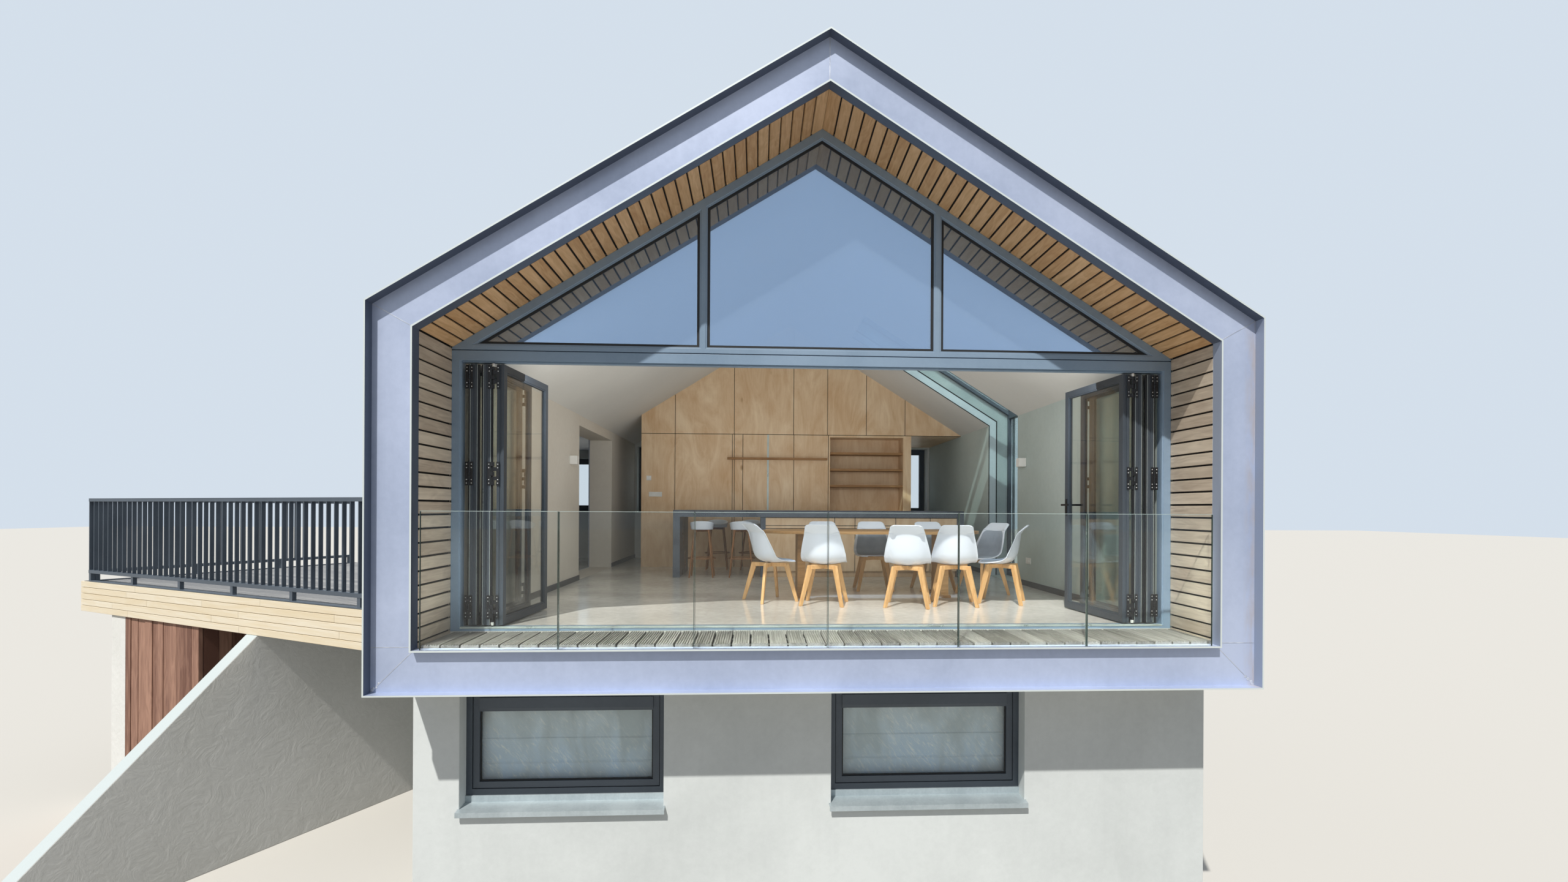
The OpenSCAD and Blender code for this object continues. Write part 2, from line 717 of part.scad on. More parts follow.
// Glazed strip: a full-height window in the right wall that runs on up the roof
strip_glass_in = 46;
strip_eave_z = eave_h - 2 * strip_bar_w;
module strip_shape(t0, t1) {
    polygon(side_of(2, t0, t1, 0, 0));
    polygon(side_of(1, t0, t1, floor_h, floor_h));
}
module strip_crossbars() {
    x0 = half_w - strip_frame_d;
    slab(x0, half_w, strip_y0, strip_y1, floor_h, floor_h + strip_bar_w);
    slab(x0, half_w, strip_y0, strip_y1, strip_eave_z, eave_h + strip_bar_w);
    slab(strip_top_x, strip_top_x + strip_bar_w, strip_y0, strip_y1, 0, ridge_h);
}
module roof_window_frame() color("#4a5058") from_rim() intersection() {
    union() {
        for (y = [strip_y0, (strip_y0 + strip_y1 - strip_bar_w) / 2, strip_y1 - strip_bar_w])
            along(y, y + strip_bar_w) strip_shape(0, strip_frame_d);
        strip_crossbars();
    }
    along(strip_y0, strip_y1) strip_shape(0, strip_frame_d);
    slab(strip_top_x, half_w, strip_y0, strip_y1, floor_h, ridge_h);
}
module roof_window_glass() color("#9fc0c4", 0.45) from_rim() {
    mid = (strip_y0 + strip_y1) / 2;
    half_bar = strip_bar_w / 2;
    panes = [[strip_y0 + strip_bar_w, mid - half_bar], [mid + half_bar, strip_y1 - strip_bar_w]];
    for (y = panes) difference() {
        along(y[0], y[1]) strip_shape(strip_glass_in, strip_glass_in + glass_t);
        slab(0, strip_top_x + strip_bar_w, y[0] - eps, y[1] + eps, 0, ridge_h);
        strip_crossbars();
    }
}

// Side bay, on its own walls down to the ground
bay_top = bay_ceiling + bay_roof_t;
bay_edge_w = 120;
bay_edge_h = 60;
module bay_end(y) {
    slab(bay_x0, -base_half, y, y + bay_wall_t, -base_h, 0);
    slab(bay_x0, bay_x1, y, y + bay_wall_t, -eps, bay_ceiling);
}
module bay_front_wall() color("#d2d6d2") from_rim() bay_end(bay_y0);
module bay_side_wall() color("#d2d6d2") from_rim()
    slab(bay_x0, bay_x0 + bay_wall_t, bay_y0 + bay_wall_t, bay_y1 - bay_wall_t, -base_h, bay_ceiling);
module bay_back_wall() color("#d2d6d2") from_rim() difference() {
    bay_end(bay_y1 - bay_wall_t);
    window_hole(bay_win_x, bay_y1 - bay_wall_t, bay_y1, bay_win_w, bay_win_h, bay_win_z0);
}
module bay_roof() color("#9aa0ad") from_rim() difference() {
    slab(bay_x0, bay_x1, bay_y0, bay_y1, bay_ceiling, bay_top);
    slab(bay_x0 + bay_edge_w, bay_x1 + eps, bay_y0 + bay_edge_w, bay_y1 - bay_edge_w,
         bay_top - bay_edge_h, bay_top + eps);
}
module bay_floor() color("#c9c2b4") from_rim()
    slab(bay_x0 + bay_wall_t, bay_x1, bay_y0 + bay_wall_t, bay_y1 - bay_wall_t, 0, floor_h);

// Indoor fittings
niche_x0 = 720;
niche_x1 = 2009;
niche_z0 = 1310;
niche_z1 = 2660;
niche_d = 380;
shelf_t = 36;
shelf_pitch = 285;
shelf_top = 2402;
ledge_x0 = -1064;
ledge_x1 = 665;
ledge_z = 2256;
ledge_d = 70;
module plywood_wall() color("#c3a47a") from_rim() difference() {
    along(ply_y, ply_y + ply_d) intersection() {
        polygon(gable(wall_t, floor_h));
        union() {
            panel(ply_x0, ply_x1, floor_h, ridge_h);
            panel(ply_x0, indoor_half, ply_joint_h, ridge_h);
        }
    }
    slab(niche_x0, niche_x1, ply_y - eps, ply_y + niche_d, niche_z0, niche_z1);
}
module kitchen_shelves() color("#a9825a") from_rim() {
    for (k = [0 : 2]) {
        z = shelf_top - k * shelf_pitch;
        slab(niche_x0, niche_x1, ply_y + ledge_d / 2, ply_y + niche_d, z - shelf_t, z);
    }
    slab(ledge_x0, ledge_x1, ply_y - ledge_d, ply_y, ledge_z, ledge_z + shelf_t);
}
// Ceiling panel over the passage beside the plywood wall
passage_t = 40;
module passage_ceiling() color("#c3a47a") from_rim() along(ply_y + ply_d, back_wall_in) intersection() {
    polygon(gable(wall_t, floor_h));
    panel(ply_x1, indoor_half, ply_joint_h, ply_joint_h + passage_t);
}
// The slab stands on uprights; stools go under its left part and a cabinet fills the rest
cabinet_in = 30;
cabinet_x = 1350;
cabinet_post_w = 76;
cabinet_end_in = 180;
plinth_h = 90;
plinth_in = 90;
module in_island() {
    from_rim() translate([island_x - island_l / 2, island_y, floor_h]) children();
}
module kitchen_island() color("#5d6064") in_island() {
    under = island_h - island_t;
    slab(0, island_l, 0, island_d, under, island_h);
    for (x = [0, island_l - island_t]) slab(x, x + island_t, 0, island_d, 0, under);
    slab(cabinet_x - cabinet_post_w, cabinet_x, cabinet_in, island_d - cabinet_end_in, 0, under);
}
module island_cabinet() color("#c3a47a") in_island() {
    x1 = island_l - island_t;
    back = island_d - cabinet_end_in;
    slab(cabinet_x, x1, cabinet_in, back, plinth_h, island_h - island_t);
    slab(cabinet_x, x1, plinth_in, back - plinth_in, 0, plinth_h);
}
lamp_w = 115;
lamp_d = 95;
lamp_z = 1985;
// Distance of a wall light in front of the opening beside it
lamp_gap = 375;
module wall_lights() color("#f2f2ef") from_rim() {
    left_y = bay_y0 + bay_wall_t - lamp_gap - lamp_w;
    right_y = strip_y0 - lamp_gap / 2 - lamp_w;
    slab(-indoor_half, lamp_d - indoor_half, left_y, left_y + lamp_w, lamp_z, lamp_z + lamp_w);
    slab(indoor_half - lamp_d, indoor_half, right_y, right_y + lamp_w, lamp_z, lamp_z + lamp_w);
}
table_t = 30;
table_leg = 90;
module dining_table() color("#a87d52") from_rim() translate([table_x, table_y, floor_h]) {
    translate([0, 0, table_h - table_t]) linear_extrude(table_t) {
        square([table_l - table_w, table_w], center = true);
        for (s = [-1, 1]) translate([s * (table_l - table_w) / 2, 0]) circle(d = table_w);
    }
    for (s = [-1, 1]) translate([s * (table_l / 2 - table_w * 0.42), 0, 0]) {
        slab(-table_leg / 2, table_leg / 2, -table_w * 0.3, table_w * 0.3, 0, table_t);
        slab(-table_leg / 2, table_leg / 2, -table_w * 0.2, table_w * 0.2, table_t, table_h - table_t);
    }
}
// Seats round the table: place across, place from the front rim, turn
chair_places = [
    [167, 2018, -14], [1031, 1872, -16], [1545, 1960, -10], [-400, 2300, -62], [2150, 2830, 114],
    [2125, 2130, 65], [289, 3290, 180], [914, 3290, 178], [1673, 3290, 183]
];
module at_chairs() {
    for (c = chair_places) translate([c[0], c[1], floor_h]) rotate([0, 0, c[2]]) children();
}
shell_t = 16;
seat_dip = 22;
back_rise = chair_h - seat_h;
// Centre line of the shell from the seat's front edge up the back, as distance back and height
shell_line = [
    [-0.49, 0.01], [-0.42, -0.035], [-0.17, -seat_dip / back_rise], [0.12, -0.04], [0.29, 0.035],
    [0.39, 0.2], [0.43, 0.46], [0.46, 0.74], [0.5, 1]
];
shell_points = [for (p = shell_line) [p[0] * chair_d, seat_h + p[1] * back_rise]];
function side_step(a, b) = let (d = b - a) [-d[1], d[0]] / norm(d) * shell_t / 2;
function line_normal(p, i) = let (n = len(p) - 1)
    i == 0 ? side_step(p[0], p[1]) : i == n ? side_step(p[n - 1], p[n]) :
    (side_step(p[i - 1], p[i]) + side_step(p[i], p[i + 1])) / 2;
function band_outline(p) = concat(
    [for (i = [0 : len(p) - 1]) p[i] + line_normal(p, i)],
    [for (i = [len(p) - 1 : -1 : 0]) p[i] - line_normal(p, i)]
);
// Half of the shell's width at a share s of its reach: narrower towards the end, with round corners
function shell_half(s, narrow, bend) = chair_w / 2 * (1 - narrow * s) * sqrt(1 - pow(s, bend));
shell_steps = [for (a = [0 : 10 : 90]) sin(a)];
// Outline with straight sides below zero that narrows to a round end at reach
module shell_outline(foot, reach, narrow, bend) {
    side = [for (s = shell_steps) [shell_half(s, narrow, bend), s * reach]];
    polygon(concat([[-chair_w / 2, foot], [chair_w / 2, foot]], side,
        [for (i = [len(side) - 2 : -1 : 0]) [-side[i][0], side[i][1]]]));
}
module chair_shell() {
    intersection() {
        translate([chair_w / 2, 0, 0]) rotate([90, 0, -90]) linear_extrude(chair_w)
            polygon(band_outline(shell_points));
        translate([0, chair_d, seat_h]) rotate([90, 0, 0]) linear_extrude(2 * chair_d)
            shell_outline(-chair_w / 2, back_rise + shell_t, 0.36, 12);
        linear_extrude(chair_h + shell_t) shell_outline(-chair_d, chair_d / 2, 0.08, 5);
    }
}
module chair_shells() color("#e9eef2") from_rim() at_chairs() chair_shell();
// Legs are tapered planks on the diagonals, joined by a cross under the seat
leg_h = seat_h - seat_dip - shell_t / 2 - fit;
leg_t = 28;
leg_top_w = 62;
leg_foot_w = 34;
leg_top_reach = 178;
leg_foot_reach = 304;
cross_w = 40;
cross_h = 42;
module seat_cross(reach, w, top, h) {
    for (a = [45, 135]) rotate([0, 0, a]) slab(-reach, reach, -w / 2, w / 2, top - h, top);
}
module plank_leg() {
    translate([0, leg_t / 2, 0]) rotate([90, 0, 0]) linear_extrude(leg_t) polygon([
        [leg_foot_reach - leg_foot_w / 2, 0], [leg_foot_reach + leg_foot_w / 2, 0],
        [leg_top_reach + leg_top_w / 2, leg_h], [leg_top_reach - leg_top_w / 2, leg_h]
    ]);
}
module chair_legs() color("#c99a64") from_rim() at_chairs() {
    for (a = [45 : 90 : 315]) rotate([0, 0, a]) plank_leg();
    seat_cross(leg_top_reach, cross_w, leg_h, cross_h);
}
// Bar stools on both sides of the island: place across, place from the front rim, turn
stool_places = [[-1357, 4900, 0], [-776, 4900, 0], [-1205, 6120, 180], [-640, 6120, 180]];
module at_stools() {
    for (c = stool_places) translate([c[0], c[1], floor_h]) rotate([0, 0, c[2]]) children();
}
stool_t = 14;
stool_r = 160;
stool_flare = 22;
stool_back_h = 125;
stool_front_h = 48;
module stool_shell() difference() {
    reach = stool_r + stool_flare;
    lean = atan((stool_back_h - stool_front_h) / (2 * reach));
    cylinder(h = stool_back_h, r1 = stool_r, r2 = reach);
    translate([0, 0, stool_t]) cylinder(h = stool_back_h, r1 = stool_r - stool_t, r2 = reach - stool_t + 2);
    translate([0, reach, stool_front_h]) rotate([-lean, 0, 0])
        slab(-2 * reach, 2 * reach, -4 * reach, reach, 0, stool_back_h * 2);
}
module stool_shells() color("#e9eef2") from_rim() at_stools() translate([0, 0, stool_h]) stool_shell();
stool_leg_top_r = 15;
stool_leg_foot_r = 11;
stool_leg_top = 98;
stool_leg_foot = 171;
stool_ring_z = 270;
stool_ring_r = 207;
stool_ring_w = 18;
stool_ring_t = 16;
stool_cross_h = 35;
module splayed_leg(h, top_x, foot_x) {
    lean = atan((foot_x - top_x) * sqrt(2) / h);
    translate([foot_x, foot_x, 0]) rotate([0, 0, 45]) rotate([0, -lean, 0])
        cylinder(h = h / cos(lean), r1 = stool_leg_foot_r, r2 = stool_leg_top_r, $fn = 20);
}
module stool_legs() color("#a5764c") from_rim() at_stools() {
    h = stool_h - fit;
    intersection() {
        for (a = [0 : 90 : 270])
            rotate([0, 0, a]) splayed_leg(h + stool_leg_top_r * 2, stool_leg_top, stool_leg_foot);
        slab(-stool_leg_foot * 2, stool_leg_foot * 2, -stool_leg_foot * 2, stool_leg_foot * 2, 0, h);
    }
    seat_cross(stool_leg_top * sqrt(2), stool_leg_top_r * 2, h, stool_cross_h);
    translate([0, 0, stool_ring_z]) difference() {
        cylinder(h = stool_ring_t, r = stool_ring_r);
        translate([0, 0, -eps]) cylinder(h = stool_ring_t + 2 * eps, r = stool_ring_r - stool_ring_w);
    }
}

// Terrace
module house_block() {
    slab(-half_w, half_w, 0, tube_l, -base_h - eps, ridge_h);
    slab(bay_x0, -half_w, bay_y0, bay_y1, -base_h - eps, bay_top);
}
joist_w = 70;
joist_n = 6;
module terrace_deck() color("#9d9c98") from_rim() difference() {
    on_terrace() {
        slab(0, terrace_l - fascia_t, fascia_t, terrace_d - fascia_t, fascia_h - board_t, fascia_h);
        for (k = [0 : joist_n - 1]) {
            v = fascia_t + k * (terrace_d - 2 * fascia_t - joist_w) / (joist_n - 1);
            slab(0, terrace_l - fascia_t, v, v + joist_w, 0, fascia_h - board_t);
        }
    }
    house_block();
}
module terrace_fascia() color("#e3cd9f") from_rim() difference() {
    on_terrace() {
        slab(0, terrace_l, 0, fascia_t, 0, fascia_h);
        slab(terrace_l - fascia_t, terrace_l, fascia_t, terrace_d, 0, fascia_h);
        slab(0, terrace_l - fascia_t, terrace_d - fascia_t, terrace_d, 0, fascia_h);
    }
    house_block();
}
rail_y = 8;
angle_t = 14;
baluster_in = 4;
// A railing bay from u0 to u1: two rails, a lower angle, flat balusters and brackets down to the deck
module railing(u0, u1, n, brackets) {
    z0 = fascia_h;
    slab(u0, u1, 0, rail_w, z0 + rail_h - rail_t, z0 + rail_h);
    slab(u0, u1, 0, rail_w, z0 + rail_gap, z0 + rail_gap + rail_t);
    slab(u0, u1, 0, rail_w, z0 + fit, z0 + angle_t);
    step = (u1 - u0 - baluster_t) / (n - 1);
    for (k = [0 : n - 1]) slab(u0 + k * step, u0 + k * step + baluster_t, baluster_in, rail_w - baluster_in,
        z0 + rail_gap + rail_t - eps, z0 + rail_h - rail_t + eps);
    for (k = [0 : brackets - 1]) {
        u = u0 + k * (u1 - u0 - rail_w) / (brackets - 1);
        slab(u, u + rail_w, baluster_in, rail_w - baluster_in, z0 + fit, z0 + rail_gap + eps);
    }
}
rail_start_x = 60;
module terrace_railing() color("#545c66") from_rim() on_terrace() translate([0, rail_y, 0])
    railing(rail_start_x, terrace_l - rail_end_d, baluster_n, 7);
end_rail_l = terrace_d - rail_end_d;
module terrace_end_railing() color("#545c66") from_rim() on_terrace() {
    translate([terrace_l - rail_end_d, rail_y + rail_w + fit, 0]) rotate([0, 0, 90])
        railing(0, end_rail_l - rail_w, round(baluster_n * end_rail_l / terrace_l), 4);
}
// Wall across the court: level under the terrace, with a sloped top in front of it
wing_run = base_h / tan(wing_slope);
module wing_wall() color("#a9aaa6") from_rim() difference() {
    on_terrace() translate([wing_x, 0, 0]) rotate([90, 0, 90]) linear_extrude(wing_t) polygon([
        [-wing_run, -base_h], [terrace_d, -base_h], [terrace_d, 0], [0, 0]
    ]);
    house_block();
}
plank_t = 60;
plank_y = 30;
module plank_wall() color("#8a5f4d") from_rim() on_terrace() {
    slab(plank_start_x, plank_end_x, plank_y, plank_y + plank_t, -base_h, 0);
    slab(plank_start_x, plank_start_x + plank_t, plank_y + plank_t, terrace_d - plank_y, -base_h, 0);
}
module terrace_pier() color("#d9d8d2") from_rim() on_terrace() {
    for (v = [plank_y, terrace_d - plank_y - pier_w])
        slab(plank_end_x, plank_end_x + pier_w, v, v + pier_w, -base_h, 0);
}

base_front_wall();
base_back_wall();
base_side_walls();
base_floor();
window_frames();
window_glass();
window_sills();
base_blinds();
tube_floor();
side_walls();
roof_left();
roof_right();
back_gable_wall();
zinc_walls();
zinc_roof();
frame_left_post();
frame_right_post();
frame_left_rake();
frame_right_rake();
frame_sill();
back_frame();
timber_lining();
balcony_deck();
balcony_glass();
gable_frame();
gable_glass();
door_frame();
door_leaves_left();
door_leaves_right();
door_glass();
door_hardware();
roof_window_frame();
roof_window_glass();
bay_front_wall();
bay_side_wall();
bay_back_wall();
bay_roof();
bay_floor();
plywood_wall();
kitchen_shelves();
passage_ceiling();
kitchen_island();
island_cabinet();
wall_lights();
dining_table();
chair_shells();
chair_legs();
stool_shells();
stool_legs();
terrace_deck();
terrace_fascia();
terrace_railing();
terrace_end_railing();
wing_wall();
plank_wall();
terrace_pier();
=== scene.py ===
import math
import random

import bmesh
import bpy
from mathutils import Matrix, Vector
from mathutils import noise as waves


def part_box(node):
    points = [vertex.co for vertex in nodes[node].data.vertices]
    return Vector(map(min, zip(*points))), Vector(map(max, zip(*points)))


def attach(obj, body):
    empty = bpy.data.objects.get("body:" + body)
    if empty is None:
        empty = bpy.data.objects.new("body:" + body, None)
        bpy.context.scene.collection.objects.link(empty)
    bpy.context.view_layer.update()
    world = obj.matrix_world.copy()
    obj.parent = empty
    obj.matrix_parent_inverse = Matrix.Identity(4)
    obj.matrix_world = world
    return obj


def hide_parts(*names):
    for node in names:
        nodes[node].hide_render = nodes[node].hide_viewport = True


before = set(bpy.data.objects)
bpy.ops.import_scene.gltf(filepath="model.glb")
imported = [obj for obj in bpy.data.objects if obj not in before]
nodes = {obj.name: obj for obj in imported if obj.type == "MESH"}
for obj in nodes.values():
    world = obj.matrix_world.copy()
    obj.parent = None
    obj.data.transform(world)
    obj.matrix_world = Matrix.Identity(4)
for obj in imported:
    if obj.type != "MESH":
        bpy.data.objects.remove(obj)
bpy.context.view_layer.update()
print("frame loaded with", len(nodes), "nodes")

# Places that the pieces share, read from the frame; metres, X across, Y into the house, Z up

acrossX, intoHouse, upward = Vector((1, 0, 0)), Vector((0, 1, 0)), Vector((0, 0, 1))
rimLow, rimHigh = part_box("frame_sill")
halfWidth, tubeFoot, rimFront = rimHigh.x, rimLow.z, rimLow.y
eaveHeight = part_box("frame_left_post")[1].z
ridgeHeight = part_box("frame_left_rake")[1].z
slope = math.atan2(ridgeHeight - eaveHeight, halfWidth)
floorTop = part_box("island_cabinet")[0].z
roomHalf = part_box("door_hardware")[1].x
glazingFront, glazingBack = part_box("gable_frame")[0].y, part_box("gable_frame")[1].y


def addObject(name, data):
    thing = bpy.data.objects.new(name, data)
    bpy.context.scene.collection.objects.link(thing)
    return thing


# Camera, at the photograph's place; turn and tilt are in degrees

cameraView = {
    "place": (-0.548, -9.765, 3.764), "turnRight": 2.93, "tilt": 0.28, "lens": 15.47, "sensor": 36,
    "shiftX": -0.0048, "shiftY": 0.0434, "farthest": 500,
}


def addCamera(view):
    turn, tilt = math.radians(view["turnRight"]), math.radians(view["tilt"])
    ahead = Vector((math.sin(turn), math.cos(turn), 0))
    side = Vector((math.cos(turn), -math.sin(turn), 0))
    right = math.cos(tilt) * side + math.sin(tilt) * upward
    top = math.cos(tilt) * upward - math.sin(tilt) * side
    data = bpy.data.cameras.new("viewCamera")
    data.lens = view["lens"]
    data.sensor_width = view["sensor"]
    data.shift_x = view["shiftX"]
    data.shift_y = view["shiftY"]
    data.clip_end = view["farthest"]
    camera = addObject("viewCamera", data)
    facing = Matrix((right, top, -ahead)).transposed().to_4x4()
    camera.matrix_world = Matrix.Translation(view["place"]) @ facing
    bpy.context.scene.camera = camera


addCamera(cameraView)
print("camera placed")

# Node building helpers


def wire(tree, socket, value):
    if isinstance(value, bpy.types.NodeSocket):
        tree.links.new(value, socket)
    else:
        socket.default_value = value


def addNode(tree, kind, inputs, **settings):
    node = tree.nodes.new("ShaderNode" + kind)
    for label, value in settings.items():
        setattr(node, label, value)
    for key, value in inputs.items():
        wire(tree, node.inputs[key], value)
    return node


def maths(tree, operation, a, b=0.0, clamp=False):
    return addNode(tree, "Math", {0: a, 1: b}, operation=operation, use_clamp=clamp).outputs[0]


def mixColours(tree, share, a, b):
    return addNode(tree, "Mix", {0: share, 6: a, 7: b}, data_type="RGBA").outputs[2]


def mixShaders(tree, share, a, b):
    return addNode(tree, "MixShader", {"Fac": share, 1: a, 2: b}).outputs[0]


def spread(tree, value, low, high, toLow=0.0, toHigh=1.0):
    limits = {"From Min": low, "From Max": high, "To Min": toLow, "To Max": toHigh}
    return addNode(tree, "MapRange", {"Value": value, **limits}).outputs[0]


def scaled(tree, vector, factors):
    return addNode(tree, "VectorMath", {0: vector, 1: factors}, operation="MULTIPLY").outputs[0]


def turned(tree, vector, angles):
    radians = [math.radians(angle) for angle in angles]
    return addNode(tree, "Mapping", {"Vector": vector, "Rotation": radians}).outputs[0]


def noise(tree, vector, scale, detail=4.0, roughness=0.55, distortion=0.0):
    kind = {"Detail": detail, "Roughness": roughness, "Distortion": distortion}
    return addNode(tree, "TexNoise", {"Vector": vector, "Scale": scale, **kind}).outputs["Fac"]


def axes(tree, vector):
    return addNode(tree, "SeparateXYZ", {0: vector}).outputs


def objectPlace(tree):
    return addNode(tree, "TexCoord", {}).outputs["Object"]


def facingOf(tree):
    return axes(tree, addNode(tree, "NewGeometry", {}).outputs["True Normal"])


def makeGroup(name, inputs, outputs):
    group = bpy.data.node_groups.new(name, "ShaderNodeTree")
    for label, kind, value in inputs:
        socket = group.interface.new_socket(label, in_out="INPUT", socket_type="NodeSocket" + kind)
        if value is not None:
            socket.default_value = value
    for label, kind in outputs:
        group.interface.new_socket(label, in_out="OUTPUT", socket_type="NodeSocket" + kind)
    return group, group.nodes.new("NodeGroupInput").outputs, group.nodes.new("NodeGroupOutput").inputs


def place(tree, group, **values):
    return addNode(tree, "Group", values, node_tree=group).outputs


def linear(code):
    parts = [int(code[i:i + 2], 16) / 255 for i in (1, 3, 5)]
    return tuple(c / 12.92 if c <= 0.04045 else ((c + 0.055) / 1.055) ** 2.4 for c in parts) + (1.0,)


# Light: a key from the left above, an even sky, and fills that stand for what lit surfaces throw back

studioLight = {
    "keyFrom": (-0.44, -1.0, 1.39), "keyStrength": 3.3, "keyAngle": 0.9, "keyColour": (1.0, 0.97, 0.92),
    "skyColour": (0.84, 0.90, 1.0, 1), "skyStrength": 0.36, "backdrop": (0.66, 0.74, 0.83, 1),
    "fills": (  # name, place behind the glazing, height over the floor, tilt, size, power
        ("roomFill", 0.35, 2.05, 84, (5.4, 0.9), 54), ("roomWash", 4.1, 1.0, 180, (4.6, 2.6), 17),
        ("deckThrow", -0.42, 0.06, 180, (5.6, 0.4), 15),
    ),
}


def seenRay(tree):
    # 1 for rays by which the camera sees a surface, straight or through metal and glass
    path = tree.nodes.new("ShaderNodeLightPath").outputs
    seen = maths(tree, "MAXIMUM", path["Is Camera Ray"], path["Is Glossy Ray"])
    return maths(tree, "MAXIMUM", seen, path["Is Transmission Ray"])


def addLight(light):
    key = bpy.data.lights.new("keyLight", "SUN")
    key.energy = light["keyStrength"]
    key.angle = math.radians(light["keyAngle"])
    key.color = light["keyColour"]
    addObject("keyLight", key).rotation_euler = Vector(light["keyFrom"]).to_track_quat("Z", "Y").to_euler()
    for name, inward, height, tilt, size, power in light["fills"]:
        data = bpy.data.lights.new(name, "AREA")
        data.shape = "RECTANGLE"
        data.size, data.size_y = size
        data.energy = power
        fill = addObject(name, data)
        fill.location = (0, glazingBack + inward, floorTop + height)
        fill.rotation_euler = (math.radians(tilt), 0, 0)
        fill.visible_camera = fill.visible_glossy = fill.visible_transmission = False
    world = bpy.data.worlds.new("studioSky")
    bpy.context.scene.world = world
    world.use_nodes = True
    tree = world.node_tree
    sky = tree.nodes["Background"]
    sky.inputs["Color"].default_value = light["skyColour"]
    sky.inputs["Strength"].default_value = light["skyStrength"]
    seen = addNode(tree, "Background", {"Color": light["backdrop"]})
    mixed = mixShaders(tree, seenRay(tree), sky.outputs[0], seen.outputs[0])
    wire(tree, tree.nodes["World Output"].inputs["Surface"], mixed)


# Slow drift between two tones with a finer mottle over it, and rain streaks that run down
def makeToneDrift():
    group, given, result = makeGroup("toneDrift", [
        ("Vector", "Vector", None), ("Light", "Color", (1, 1, 1, 1)), ("Dark", "Color", (0, 0, 0, 1)),
        ("Scale", "Float", 1.0), ("Mottle", "Float", 0.3), ("Streaks", "Float", 0.0),
    ], [("Colour", "Color"), ("Mask", "Float"), ("Height", "Float")])
    slow = noise(group, given["Vector"], given["Scale"], 3, 0.5, 0.3)
    fine = noise(group, given["Vector"], maths(group, "MULTIPLY", given["Scale"], 23.0), 5, 0.65)
    long = scaled(group, given["Vector"], (1.0, 1.0, 0.06))
    drops = noise(group, long, maths(group, "MULTIPLY", given["Scale"], 9.0), 3, 0.6)
    speck = maths(group, "MULTIPLY", spread(group, fine, 0.3, 0.7, -0.5, 0.5), given["Mottle"])
    rain = maths(group, "MULTIPLY", spread(group, drops, 0.35, 0.65, -0.5, 0.5), given["Streaks"])
    mask = maths(group, "ADD", spread(group, slow, 0.3, 0.7), speck)
    mask = maths(group, "ADD", mask, rain, True)
    wire(group, result["Mask"], mask)
    wire(group, result["Height"], fine)
    wire(group, result["Colour"], mixColours(group, mask, given["Dark"], given["Light"]))
    return group


# Grain that runs along x of the vector it gets, one tone for each board
def makeWoodGrain():
    group, given, result = makeGroup("woodGrain", [
        ("Vector", "Vector", None), ("Tone", "Float", 0.5), ("Light", "Color", (1, 1, 1, 1)),
        ("Dark", "Color", (0, 0, 0, 1)), ("Along", "Float", 1.5), ("Across", "Float", 60.0),
        ("Variety", "Float", 0.5),
    ], [("Colour", "Color"), ("Height", "Float")])
    factors = addNode(group, "CombineXYZ", {0: given["Along"], 1: given["Across"], 2: given["Across"]})
    grainPlace = scaled(group, given["Vector"], factors.outputs[0])
    fibres = noise(group, grainPlace, 1.0, 6, 0.62, 0.6)
    figure = noise(group, scaled(group, grainPlace, (0.7, 0.16, 0.16)), 1.0, 2, 0.5, 1.4)
    rings = maths(group, "PINGPONG", maths(group, "MULTIPLY", figure, 7.0), 1.0)
    rings = maths(group, "MULTIPLY", rings, 0.3)
    mask = maths(group, "ADD", spread(group, fibres, 0.3, 0.7, 0.0, 0.55), rings)
    own = maths(group, "MULTIPLY", maths(group, "SUBTRACT", given["Tone"], 0.5), given["Variety"])
    mask = maths(group, "ADD", mask, own, True)
    wire(group, result["Height"], fibres)
    wire(group, result["Colour"], mixColours(group, mask, given["Dark"], given["Light"]))
    return group


toneDrift = makeToneDrift()
woodGrain = makeWoodGrain()


def startMaterial(name, values):
    material = bpy.data.materials.new(name)
    material.use_nodes = True
    shader = material.node_tree.nodes["Principled BSDF"]
    for label, value in values.items():
        shader.inputs[label].default_value = value
    return material, material.node_tree, shader


def addBump(tree, shader, height, strength, distance):
    bump = addNode(tree, "Bump", {"Strength": strength, "Distance": distance, "Height": height})
    wire(tree, shader.inputs["Normal"], bump.outputs[0])


def twoTones(tree, light, dark, scale, mottle, streaks=0.0):
    return place(tree, toneDrift, Vector=objectPlace(tree), Light=linear(light), Dark=linear(dark),
                 Scale=scale, Mottle=mottle, Streaks=streaks)


